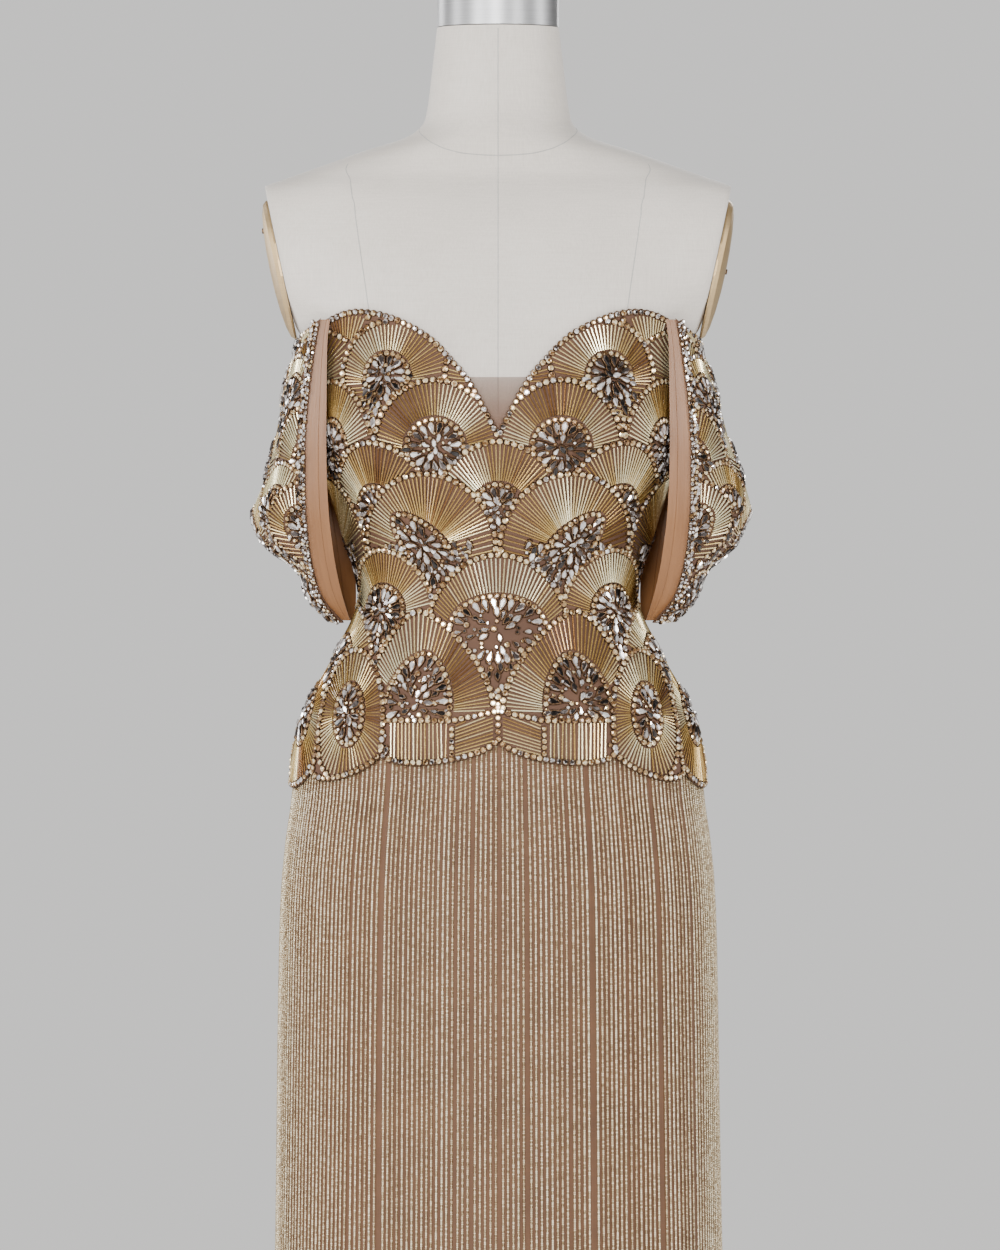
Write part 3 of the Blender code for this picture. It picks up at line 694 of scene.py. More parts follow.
@dataclass(frozen=True)
class SeedBeadStrand:
    """Rows of tiny cut beads, drawn along a strand's own length, each painted paler in its middle
    and darker where beads meet.
    """

    name: str = "seed_bead_strand"
    bead_pitch: float = 1.45 * MM
    stops: tuple = (
        (0.0, (0.070, 0.031, 0.011)),
        (0.35, (0.215, 0.125, 0.054)),
        (0.66, (0.56, 0.44, 0.26)),
        (1.0, (1.0, 0.92, 0.70)),
    )

    def make(self) -> Material:
        """Builds the material."""
        mix = Recipe(self.name, metallic=0.45, coat_weight=0.5, coat_roughness=0.1)
        parts = mix.add("SeparateXYZ", {0: mix.cloth_place()})
        along = mix.sum_up("DIVIDE", parts.outputs["Y"], self.bead_pitch)
        bead = mix.add("CombineXYZ", {"X": mix.sum_up("FLOOR", along), "Y": mix.tone()})
        chance = mix.add("TexWhiteNoise", {"Vector": bead.outputs[0]}).outputs["Value"]
        swell = mix.sum_up("POWER", mix.sum_up("ABSOLUTE", mix.wave(along, pi)), 0.45)
        # The swell also paints the colour: a painted highlight in each bead's middle and painted
        # shade where beads meet.
        level = mix.blend(chance, 0.30, swell, 0.46)
        mix.colour(mix.sum_up("MULTIPLY_ADD", mix.tone(), 0.20, level), *self.stops)
        mix.roughness(chance, 0.16, 0.36)
        mix.bump(swell, 0.7, 0.4 * MM)
        return mix.material


@dataclass(frozen=True)
class WovenCloth:
    """A woven cloth with a fine thread, and soft mottling.

    Args:
        cover: how much of what is behind it the cloth hides, at its foot and at its top.
        tall: its height, where the two differ.
    """

    name: str
    dark: Colour
    light: Colour
    thread: float = 0.35 * MM
    roughness: float = 0.6
    sheen: float = 0.3
    relief: float = 0.08 * MM
    cover: tuple[float, float] = (1.0, 1.0)
    tall: float = 1.0

    def make(self) -> Material:
        """Builds the material."""
        mix = Recipe(self.name, sheen_weight=self.sheen, sheen_roughness=0.4)
        place = mix.cloth_place()
        parts = mix.add("SeparateXYZ", {0: place})
        if self.cover != (1.0, 1.0):
            height = mix.sum_up("DIVIDE", parts.outputs["Y"], self.tall)
            mix.feed(mix.shader.inputs["Alpha"], mix.spread(height, *self.cover))
        turns = tau / self.thread / 2
        warp, weft = (mix.wave(parts.outputs[axis], turns) for axis in "XY")
        weave = mix.sum_up("MULTIPLY_ADD", mix.sum_up("MULTIPLY", warp, weft), 0.5, 0.5)
        slub = mix.noise(mix.scaled(place, 60, 900, 1), 1.0, 3)
        mottle = mix.noise(place, 28, 3)
        level = mix.sum_up("MULTIPLY_ADD", weave, 0.15, mix.blend(slub, 0.35, mottle, 0.65))
        mix.colour(level, (0.3, self.dark), (0.75, self.light))
        mix.roughness(slub, self.roughness - 0.08, self.roughness + 0.08)
        mix.bump(mix.sum_up("MULTIPLY_ADD", slub, 0.6, weave), 0.6, self.relief)
        return mix.material


# Nude cloth under the bodice and sleeve beads, darker than its own colour: painted shade for the
# shadow that falls between the beads.
SHADED_NUDE_GROUND = WovenCloth(
    "shaded_nude_ground", (0.064, 0.027, 0.013), (0.120, 0.056, 0.029), roughness=0.75, sheen=0.05
)
# Nude skirt cloth, darker than its own colour: painted shade for the shadow that falls between the
# strands.
SHADED_NUDE_SKIRT = WovenCloth(
    "shaded_nude_skirt", (0.074, 0.031, 0.011), (0.128, 0.057, 0.023), roughness=0.7, sheen=0.05
)
NUDE_TULLE = WovenCloth(
    "nude_tulle", (0.145, 0.060, 0.026), (0.215, 0.098, 0.048),
    thread=0.9 * MM, cover=(0.56, 0.24), tall=INSERT_WEAVE[1],
)


@dataclass(frozen=True)
class Linen:
    """The form's stretched linen, read from its place on the body."""

    name: str = "form_linen"
    thread: float = 0.55 * MM
    dark: Colour = (0.62, 0.565, 0.500)
    light: Colour = (0.76, 0.70, 0.63)

    def make(self) -> Material:
        """Builds the material."""
        mix = Recipe(self.name, sheen_weight=0.25, sheen_roughness=0.5)
        place = mix.object_place()
        parts = mix.add("SeparateXYZ", {0: place})
        warp, weft = (mix.wave(parts.outputs[axis], tau / self.thread) for axis in "XZ")
        weave = mix.sum_up("MULTIPLY_ADD", mix.sum_up("ADD", warp, weft), 0.25, 0.5)
        upright = mix.noise(mix.scaled(place, 1100, 1100, 40), 1.0, 3)
        level = mix.noise(mix.scaled(place, 40, 40, 1100), 1.0, 3)
        slub = mix.blend(upright, 0.6, level, 0.4)
        mottle = mix.noise(place, 9, 4)
        mix.colour(mix.blend(mottle, 0.4, slub, 0.6), (0.36, self.dark), (0.62, self.light))
        mix.roughness(slub, 0.72, 0.9)
        mix.bump(mix.blend(slub, 1.5, weave, 0.5), 0.5, 0.14 * MM)
        return mix.material


SEAM_LINEN = Linen("seam_linen", 0.3 * MM, (0.40, 0.38, 0.355), (0.52, 0.50, 0.475))


@dataclass(frozen=True)
class StitchedSatin:
    """The sleeves' silk satin, with a line of stitching along each turned edge."""

    name: str = "lining_satin"
    dark: Colour = (0.170, 0.069, 0.022)
    light: Colour = (0.285, 0.128, 0.048)
    stitch_lines: tuple = (0.0165, 0.2335)
    stitch_pitch: float = 2.6 * MM

    def make(self) -> Material:
        """Builds the material."""
        mix = Recipe(self.name, sheen_weight=0.2, sheen_roughness=0.35, anisotropic=0.4)
        place = mix.cloth_place()
        parts = mix.add("SeparateXYZ", {0: place})
        across, along = parts.outputs["X"], parts.outputs["Y"]
        thread = mix.noise(mix.scaled(place, 2200, 90, 1), 1.0, 2)
        # The drape's long streaks give soft folds in the bump, and also paint the colour: painted
        # light and shade along the folds.
        drape_and_shade = mix.noise(mix.scaled(place, 60, 9, 1), 1.0, 3)
        stitch = mix.sum_up("FRACT", mix.sum_up("DIVIDE", along, self.stitch_pitch))
        dashes = mix.sum_up("MULTIPLY_ADD", mix.sum_up("GREATER_THAN", stitch, 0.28), 0.5, 0.5)
        lines = mix.sum_up("MAXIMUM", *(self.line(mix, across, spot) for spot in self.stitch_lines))
        groove = mix.sum_up("MULTIPLY", lines, dashes)
        level = mix.sum_up("MULTIPLY_ADD", groove, -0.35, mix.blend(thread, 0.35, drape_and_shade, 0.65))
        mix.colour(level, (0.2, self.dark), (0.7, self.light))
        mix.roughness(thread, 0.34, 0.5)
        folds = mix.blend(thread, 0.08, drape_and_shade, 1.4)
        mix.bump(mix.sum_up("MULTIPLY_ADD", groove, -0.35, folds), 0.7, 0.9 * MM)
        return mix.material

    def line(self, mix: Recipe, across: Socket, spot: float) -> Socket:
        """1 on a line along the cloth, and 0 away from it."""
        far = mix.sum_up("ABSOLUTE", mix.sum_up("SUBTRACT", across, spot))
        fades = {"From Min": 0.15 * MM, "From Max": 0.9 * MM, "To Min": 1.0, "To Max": 0.0}
        return mix.add("MapRange", {"Value": far, **fades}).outputs["Result"]


LINING_SATIN = StitchedSatin()


@dataclass(frozen=True)
class BrushedMetal:
    """A metal with fine brushing along level lines."""

    name: str
    dark: Colour
    light: Colour
    roughness: float
    metallic: float = 1.0

    def make(self) -> Material:
        """Builds the material."""
        mix = Recipe(self.name, metallic=self.metallic)
        place = mix.object_place()
        brush = mix.noise(mix.scaled(place, 8, 8, 2600), 1.0, 3)
        smear = mix.noise(place, 22, 3)
        mix.colour(mix.blend(brush, 0.5, smear, 0.5), (0.3, self.dark), (0.7, self.light))
        mix.roughness(brush, self.roughness - 0.06, self.roughness + 0.1)
        mix.bump(brush, 0.25, 0.03 * MM)
        return mix.material


STEEL = BrushedMetal("brushed_steel", (0.32, 0.32, 0.325), (0.54, 0.54, 0.545), 0.40)
GOLD_PLATE = BrushedMetal("satin_gold_plate", (0.46, 0.32, 0.16), (0.60, 0.44, 0.24), 0.42, 0.75)
ZIP_METAL = BrushedMetal("zip_metal", (0.30, 0.22, 0.13), (0.50, 0.38, 0.24), 0.3)


@dataclass(frozen=True)
class BlackIron:
    """Powder-coated iron with a fine orange-peel."""

    name: str = "black_iron"

    def make(self) -> Material:
        """Builds the material."""
        mix = Recipe(self.name, metallic=0.2)
        peel = mix.noise(mix.object_place(), 700, 2)
        dust = mix.noise(mix.object_place(), 14, 4)
        mix.colour(dust, (0.3, (0.012, 0.012, 0.013)), (0.8, (0.035, 0.034, 0.033)))
        mix.roughness(dust, 0.38, 0.55)
        mix.bump(peel, 0.3, 0.08 * MM)
        return mix.material


class Wardrobe:
    """Makes each finish once."""

    def __init__(self) -> None:
        """Starts empty."""
        self.made: dict[str, Material] = {}

    def get(self, finish: object) -> Material:
        """The material of a finish."""
        if finish.name not in self.made:
            self.made[finish.name] = finish.make()
        return self.made[finish.name]

    def dress_node(self, node: str, finish: object) -> None:
        """Gives a solid that stays shown its finish."""
        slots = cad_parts[node].material_slots
        for slot in slots:
            slot.material = self.get(finish)
        LOG.info("dressed the solid %s", node)


WARDROBE = Wardrobe()

# ------------------------ modelling by hand


def mounted(
    name: str, mesh: Mesh, finishes: Iterable[object], slot: str, stands_for: str = ""
) -> Piece:
    """Puts a mesh in the scene, riding on the gown and its form.

    Args:
        name: the piece's name.
        mesh: its mesh.
        finishes: its finishes, in the order of its faces' numbers.
        slot: not used.
        stands_for: the solid that it replaces, if any.

    Returns:
        The piece.
    """
    mesh.materials.clear()
    for finish in finishes:
        mesh.materials.append(WARDROBE.get(finish))
    made = bpy.data.objects.new(name, mesh)
    bpy.context.scene.collection.objects.link(made)
    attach(made, "gown_on_form")
    if stands_for:
        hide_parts(stands_for)
    return made


def tone_faces(mesh: Mesh, tones: Sequence[float]) -> None:
    """Gives each face its light or dark."""
    layer = mesh.attributes.new("tone", "FLOAT", "FACE")
    layer.data.foreach_set("value", np.array(tones, np.float32))


def lay_out(mesh: Mesh, flat: Array) -> None:
    """Gives each corner of the faces its place on the flat cloth, in metres."""
    layer = mesh.uv_layers.new(name="cloth")
    layer.data.foreach_set("uv", flat.ravel().astype(np.float32))


def edit_all(made: Piece) -> None:
    """Opens an object in edit mode, with all of it selected."""
    deselect()
    made.select_set(True)
    bpy.context.view_layer.objects.active = made
    bpy.ops.object.mode_set(mode="EDIT")
    bpy.ops.mesh.select_all(action="SELECT")


def deselect() -> None:
    """Leaves object mode with nothing selected."""
    if bpy.context.mode != "OBJECT":
        bpy.ops.object.mode_set(mode="OBJECT")
    bpy.ops.object.select_all(action="DESELECT")


def begin(add: Callable, **sizes: object) -> Piece:
    """Adds a primitive and opens it in edit mode, in face selection.

    Args:
        add: the operator that adds it.
        sizes: its size and place.

    Returns:
        The object.
    """
    deselect()
    add(**sizes)
    made = bpy.context.object
    bpy.ops.object.transform_apply(location=True, rotation=True, scale=True)
    bpy.ops.object.mode_set(mode="EDIT")
    bpy.ops.mesh.select_mode(type="FACE")
    return made


def pick(test: Callable[[Vector, Vector], bool]) -> None:
    """Selects faces.

    Args:
        test: whether to take one, from its middle and normal.
    """
    bpy.ops.mesh.select_mode(type="FACE")
    mesh = bpy.context.object.data
    bm = bmesh.from_edit_mesh(mesh)
    for face in bm.faces:
        face.select_set(bool(test(face.calc_center_median(), face.normal)))
    bmesh.update_edit_mesh(mesh)


def pick_points(test: Callable[[Vector], bool]) -> None:
    """Selects vertices.

    Args:
        test: whether to take one, from its place.
    """
    bpy.ops.mesh.select_mode(type="VERT")
    mesh = bpy.context.object.data
    bm = bmesh.from_edit_mesh(mesh)
    for face in bm.faces:
        face.select_set(False)
    for vertex in bm.verts:
        vertex.select_set(bool(test(vertex.co)))
    bm.select_flush(True)
    bmesh.update_edit_mesh(mesh)


@dataclass
class Bead:
    """A bead that was modelled once: its points, its faces, and which are cup and smooth wall."""

    points: Array
    faces: list[tuple[int, ...]]
    cups: list[bool]
    walls: list[bool]


def taken(made: Piece, cup_top: float = 0.0) -> Bead:
    """Ends the modelling of a bead.

    Args:
        made: the object, which goes.
        cup_top: where the glass ends and its cup begins, if it has one.

    Returns:
        The bead.
    """
    deselect()
    mesh = made.data
    points = np.array([vertex.co for vertex in mesh.vertices], float)
    faces = [tuple(face.vertices) for face in mesh.polygons]
    cups = [cup_top > 0 and face.center.z < cup_top for face in mesh.polygons]
    walls = [cup and abs(face.normal.z) < 0.5 for cup, face in zip(cups, mesh.polygons)]
    bpy.data.objects.remove(made)
    bpy.data.meshes.remove(mesh)
    return Bead(points, faces, cups, walls)


class Kind(Enum):
    """The beads on the gown. Each lies along its own y, with z away from the cloth."""

    BUGLE = "bugle"
    ROUND = "round"
    SMALL_ROUND = "small_round"
    PEAR = "pear"
    NAVETTE = "navette"


# The cups are dark brass; their feet flare wide, a dark ring round each stone that is painted shade
# between the crystals.
CUP_DEEP, CUP_RIM, CUP_SHADE_FLARE, CROWN_RISE = 0.55, 0.12, 1.28, 0.38


def bugle_bead(sides: int = 7) -> Bead:
    """A glass tube of unit radius, with a dished hole at each end; its ends are at y = 1 and -1."""
    made = begin(
        bpy.ops.mesh.primitive_cylinder_add, vertices=sides, radius=1, depth=2,
        rotation=(pi / 2, 0, 0),
    )
    pick(lambda middle, normal: abs(normal.y) > 0.9)
    bpy.ops.mesh.inset(thickness=0.38, use_individual=True)
    bpy.ops.transform.resize(value=(1, 0.6, 1))
    return taken(made)


def cut_stone(shape: Callable[[], None], sides: int = 8, crown: float = 0.25) -> Bead:
    """A faceted stone in a flared cup, of unit half width, standing on z = 0.

    Args:
        shape: edits the plain disc's outline, in edit mode.
        sides: how many sides the disc starts with.
        crown: how wide the facets round the table are.

    Returns:
        The bead.
    """
    made = begin(
        bpy.ops.mesh.primitive_cylinder_add, vertices=sides, radius=1, depth=CUP_DEEP,
        location=(0, 0, CUP_DEEP / 2), rotation=(0, 0, pi / sides),
    )
    shape()
    pick(lambda middle, normal: normal.z > 0.9)
    bpy.ops.mesh.inset(thickness=CUP_RIM, depth=0.0)
    bpy.ops.mesh.inset(thickness=crown, depth=CROWN_RISE)
    # Painted shade: the cup's foot is spread wide, to darken the cloth round the stone.
    pick(lambda middle, normal: normal.z < -0.9)
    bpy.ops.transform.resize(value=(CUP_SHADE_FLARE, CUP_SHADE_FLARE, 1))
    return taken(made, CUP_DEEP + 0.01)


def pear_outline() -> None:
    """Draws the disc out to a point at its far end."""
    for below, narrower, down in ((0.5, 0.96, 0.2), (-0.5, 0.66, 0.25), (-1.3, 0.34, 0.25)):
        pick_points(lambda place: place.y < below)
        bpy.ops.transform.resize(value=(narrower, 1, 1))
        bpy.ops.transform.translate(value=(0, -down, 0))
    pick_points(lambda place: True)
    bpy.ops.transform.translate(value=(0, 0.35, 0))


def navette_outline() -> None:
    """Draws the disc out to a point at both ends."""
    pick_points(lambda place: True)
    bpy.ops.transform.resize(value=(0.92, 1.35, 1))
    for end in (-1, 1):
        pick_points(lambda place: end * place.y > 1.1)
        bpy.ops.transform.resize(value=(0.35, 1, 1))
        bpy.ops.transform.translate(value=(0, end * 0.2, 0))


def bead_box() -> dict[Kind, Bead]:
    """Models each kind of bead once."""
    made = {
        Kind.BUGLE: bugle_bead(),
        Kind.ROUND: cut_stone(lambda: None, 8, 0.36),
        Kind.SMALL_ROUND: cut_stone(lambda: None, 6),
        Kind.PEAR: cut_stone(pear_outline),
        Kind.NAVETTE: cut_stone(navette_outline),
    }
    LOG.info("modelled %d kinds of bead", len(made))
    return made


BEADS = bead_box()


class Glass(IntEnum):
    """The finishes of the beadwork, by their number on its faces."""

    TUBE = 0
    CHAMPAGNE = 1
    SMOKE = 2
    CUP = 3


class Work:
    """Beadwork on a cloth: copies of beads, gathered and then joined into one piece."""

    FINISHES = (BUGLE_GOLD, TOPAZ, SMOKE, DarkSetting())
    # Painted glints: a stone's facets get scattered tones, so that some are painted bright and
    # others dark, as if they caught the light.
    FACET_GLINT_SWING = (0.0, 0.45, 0.5)  # how far the tones of facets differ, for each glass
    TUBE_RADIUS = 0.64 * MM

    def __init__(self, name: str, ground: Ground, seed: int) -> None:
        """Starts with no beads.

        Args:
            name: the name of the piece that they become.
            ground: the cloth under them.
            seed: what their random differences follow from.
        """
        self.name, self.ground = name, ground
        self.chance = random.Random(seed)
        self.tubes: list[tuple] = []
        self.stones: list[tuple] = []

    def tube(self, first: Place, last: Place, tone: float) -> None:
        """Lays a bugle between two places on the cloth."""
        self.tubes.append((*first, *last, tone))

    def stone(
        self, kind: Kind, place: Place, size: float, tone: float, heading: float = 0.0,
        glass: Glass = Glass.CHAMPAGNE, lift: float = 0.0, long: float = 1.0,
    ) -> None:
        """Sets a stone.

        Args:
            kind: its cut.
            place: distance and height.
            size: its half width.
            tone: its light or dark.
            heading: where its blunt end points, clockwise from up.
            glass: its colour.
            lift: how far off the cloth it sits.
            long: its length as a share of its usual one.
        """
        self.stones.append((kind, *place, size, tone, heading, glass, lift, long))

    def finish(self) -> Piece:
        """Joins all beads into one mesh on the gown.

        Returns:
            The piece.
        """
        points, faces, finishes, smooths, tones = [], [], [], [], []
        count = 0
        for bead, corner, axes, tone, glass in self.placed():
            points.append(bead.points @ axes + corner)
            # Painted glints: each facet's tone is scattered by its glass's swing.
            swing = self.FACET_GLINT_SWING[glass]
            for face, cup in zip(bead.faces, bead.cups):
                faces.append(tuple(count + k for k in face))
                finishes.append(int(Glass.CUP if cup else glass))
                tones.append(min(1.0, max(0.0, tone + self.chance.uniform(-swing, swing))))
            smooths.extend(bead.walls)
            count += len(bead.points)
        mesh = bpy.data.meshes.new(self.name)
        mesh.from_pydata(np.concatenate(points), [], faces)
        tone_faces(mesh, tones)
        made = mounted(self.name, mesh, self.FINISHES, "gold_beading")
        mesh.polygons.foreach_set("material_index", finishes)
        mesh.polygons.foreach_set("use_smooth", smooths)
        LOG.info("%s: %d bugles and %d stones", self.name, len(self.tubes), len(self.stones))
        return made

    def placed(self) -> Iterable[tuple[Bead, Array, Array, float, Glass]]:
        """Each bead with its corner, its axes as rows, its tone and its glass."""
        rows, bead, radius = np.array(self.tubes), BEADS[Kind.BUGLE], self.TUBE_RADIUS
        starts, ends = (self.ground.on_face(rows[:, k : k + 2])[0] for k in (0, 2))
        middles, _, _, out = self.ground.on_face((rows[:, 0:2] + rows[:, 2:4]) / 2)
        centres = (starts + ends) / 2
        sink = np.maximum(((middles - centres) * out).sum(1), 0)
        centres = centres + out * (sink + radius)[:, None]
        along = ends - starts
        half = np.linalg.norm(along, axis=1) / 2
        along = normalised(along)
        side = normalised(np.cross(along, out))
        top = np.cross(side, along)
        for i, row in enumerate(rows):
            local = bead.points.copy() * radius
            local[:, 1] += np.sign(local[:, 1]) * (half[i] - radius)
            fitted = Bead(local, bead.faces, bead.cups, bead.walls)
            yield fitted, centres[i], np.stack([side[i], along[i], top[i]]), row[4], Glass.TUBE
        places = np.array([stone[1:3] for stone in self.stones])
        points, side, up, out = self.ground.on_face(places)
        for i, (kind, _, _, size, tone, heading, glass, lift, long) in enumerate(self.stones):
            along = up[i] * cos(heading) + side[i] * sin(heading)
            across = np.cross(along, out[i])
            axes = np.stack([across * size, along * size * long, out[i] * size])
            yield BEADS[kind], points[i] + out[i] * lift, axes, tone, glass


# ------------------------ cloth


@dataclass(frozen=True)
class Cut:
    """How a cloth is made: its grid, its thickness, its finish, and a slot name.

    Args:
        grid: columns and rows.
        thick: the cloth's thickness.
        finish: its weave.
        weave: how wide and tall the weave is laid out on it, in metres.
        slot: not used.
        stands_for: the solid that it replaces.
    """

    grid: tuple[int, int]
    thick: float
    finish: object
    weave: tuple[float, float]
    slot: str
    stands_for: str


def shell(name: str, face: Callable[[Array, Array, float], Array], cut: Cut) -> Piece:
    """A thin closed cloth between two faces over the same grid.

    Args:
        name: the piece's name.
        face: the points over shares across and up, and a distance out of the inner face.
        cut: how it is made.

    Returns:
        The piece, riding on the gown.
    """
    columns, rows = cut.grid
    across, up = np.meshgrid(np.linspace(0, 1, columns + 1), np.linspace(0, 1, rows + 1))
    inside, outside = face(across, up, 0.0), face(across, up, cut.thick)
    size = (columns + 1) * (rows + 1)
    index = np.arange(size).reshape(rows + 1, columns + 1)
    quads = []

    def strip(a: Array, b: Array, c: Array, d: Array) -> None:
        """Adds the quads between four lines of corners."""
        quads.extend(np.stack([a, b, c, d], -1).reshape(-1, 4).tolist())

    over = index + size
    strip(over[:-1, :-1], over[:-1, 1:], over[1:, 1:], over[1:, :-1])
    strip(index[:-1, :-1], index[1:, :-1], index[1:, 1:], index[:-1, 1:])
    strip(index[0, :-1], index[0, 1:], over[0, 1:], over[0, :-1])
    strip(index[-1, 1:], index[-1, :-1], over[-1, :-1], over[-1, 1:])
    strip(index[:-1, 0], over[:-1, 0], over[1:, 0], index[1:, 0])
    strip(over[:-1, -1], index[:-1, -1], index[1:, -1], over[1:, -1])
    mesh = bpy.data.meshes.new(name)
    mesh.from_pydata(np.concatenate([inside.reshape(-1, 3), outside.reshape(-1, 3)]), [], quads)
    places = np.stack([across.ravel() * cut.weave[0], up.ravel() * cut.weave[1]], -1)
    loops = np.empty(len(mesh.loops), np.int32)
    mesh.loops.foreach_get("vertex_index", loops)
    lay_out(mesh, np.concatenate([places, places])[loops])
    mesh.shade_smooth()
    mesh.set_sharp_from_angle(angle=radians(50))
    made = mounted(name, mesh, [cut.finish], cut.slot, cut.stands_for)
    LOG.info("%s: cloth of %d quads", name, len(quads))
    return made


def oval_point(turn: float, wide: float, tall: float, power: float) -> tuple[float, float]:
    """A point of an oval, from its middle, at a turn clockwise from straight up.

    Args:
        turn: in radians.
        wide, tall: the oval's half sizes.
        power: 2 for a round one, and less for a pointed one.

    Returns:
        The point.
    """
    across, up = sin(turn), cos(turn)
    reach = (abs(across / wide) ** power + abs(up / tall) ** power) ** (-1 / power)
    return reach * across, reach * up


def in_oval(x: float, y: float, wide: float, tall: float, power: float) -> bool:
    """Whether a place, from the oval's middle, lies inside it."""
    return (abs(x) / wide) ** power + (abs(y) / tall) ** power < 1


@dataclass
class Scallop:
    """One fan or rosette of the pattern: bugles between a heart of crystals and a rim of stones.

    Args:
        across, height: its middle.
        wide, tall: half sizes of its outline.
        heart_wide, heart_tall: half sizes of its heart.
        near_wide: half width of the outline on the side that faces centre front, where it differs.
        power, low_power: 2 where the outline is round, and less where it is pointed.
        heart_power: the same for the heart.
        sweep: how far round from straight up the bugles turn, in radians.
        drop: how far below the middle the bugles aim.
        lean: how far the heart is turned, clockwise in radians.
        full: how much of the heart is filled, from 0 to 1.
    """

    across: float
    height: float
    wide: float
    tall: float
    heart_wide: float
    heart_tall: float
    near_wide: float = 0.0
    power: float = 1.9
    low_power: float = 1.9
    heart_power: float = 2.0
    sweep: float = radians(80)
    drop: float = 5 * MM
    lean: float = 0.0
    full: float = 1.0

    @property
    def is_rosette(self) -> bool:
        """Whether its bugles go all the way round."""
        return self.sweep > 3

    def half_width(self, x: float) -> float:
        """The outline's half width on the side of a place."""
        return self.near_wide if self.near_wide and x * self.across < 0 else self.wide

    def rim(self, turn: float, margin: float) -> tuple[float, float]:
        """The outline's point at a turn clockwise from straight up, drawn in by a margin."""
        power = self.power if cos(turn) >= 0 else self.low_power
        wide = self.half_width(sin(turn)) - margin
        x, y = oval_point(turn, wide, self.tall - margin, power)
        return self.across + x, self.height + y

    def heart_point(self, turn: float, margin: float) -> tuple[float, float]:
        """The heart's outline, drawn in by a margin."""
        wide, tall = self.heart_wide - margin, self.heart_tall - margin
        x, y = oval_point(turn, wide, tall, self.heart_power)
        turned, other = cos(self.lean), sin(self.lean)
        return self.across + x * turned + y * other, self.height - x * other + y * turned

    def holds(self, place: Place, margin: float = 0.0) -> bool:
        """Whether a place lies inside the outline, drawn in by a margin."""
        x, y = place[0] - self.across, place[1] - self.height
        power = self.power if y >= 0 else self.low_power
        return in_oval(x, y, self.half_width(x) - margin, self.tall - margin, power)

    def in_heart(self, place: Place, margin: float = 0.0) -> bool:
        """Whether a place lies in the heart, drawn in by a margin."""
        x, y = place[0] - self.across, place[1] - self.height
        turned, other = cos(self.lean), sin(self.lean)
        x, y = x * turned - y * other, x * other + y * turned
        return in_oval(x, y, self.heart_wide - margin, self.heart_tall - margin, self.heart_power)

    def meets(self, other: "Scallop") -> bool:
        """Whether another scallop may lie over this one."""
        wide = self.wide + self.near_wide + other.wide + other.near_wide
        near = abs(self.across - other.across) < wide
        return near and abs(self.height - other.height) < self.tall + other.tall

    def dome(self) -> Dome:
        """The padding under the heart."""
        wide, tall = self.heart_wide + 3 * MM, self.heart_tall + 3 * MM
        return Dome(self.across, self.height, wide, tall, rise=1.1 * MM)


@dataclass
class Beading:
    """The rules by which a cloth is beaded with scallops.

    Args:
        work: where the beads go.
        scallops: the pattern, each over those before it.
        low, high: the cloth's lower and upper edge, from a distance across.
        reach: how far the cloth goes from its middle, from a height.
        other: further zones that the pattern leaves free.
        sheen: how pale the bugles are.
        edge: what the cloth's own edge takes up.
        large_tries, small_tries: how often a full heart is tried for room.
    """

    work: Work
    scallops: list[Scallop]
    low: Callable[[float], float]
    high: Callable[[float], float]
    reach: Callable[[float], float]
    other: Callable[[Place], bool] = lambda place: False
    sheen: float = 0.0
    stone: float = 2.7 * MM
    stone_pitch: float = 5.7 * MM
    small_stone: float = 2.45 * MM
    small_pitch: float = 5.2 * MM
    pear: float = 3.3 * MM
    tube_pitch: float = 3.9 * MM
    shortest_tube: float = 5.5 * MM
    tube_step: float = 0.7 * MM
    edge: float = 5.0 * MM
    large_tries: int = 380
    small_tries: int = 1200

    def inside(self, place: Place, margin: float) -> bool:
        """Whether a place is on the cloth, away from its edges."""
        x, y = place
        if abs(x) > self.reach(y) - margin or self.other(place):
            return False
        return self.low(x) + margin < y < self.high(x) - margin

    def bead(self, number: int) -> None:
        """Beads one scallop, where none lies over it."""
        fan = self.scallops[number]
        over = [other for other in self.scallops[number + 1 :] if fan.meets(other)]
        FanWork(self, fan, over).build()


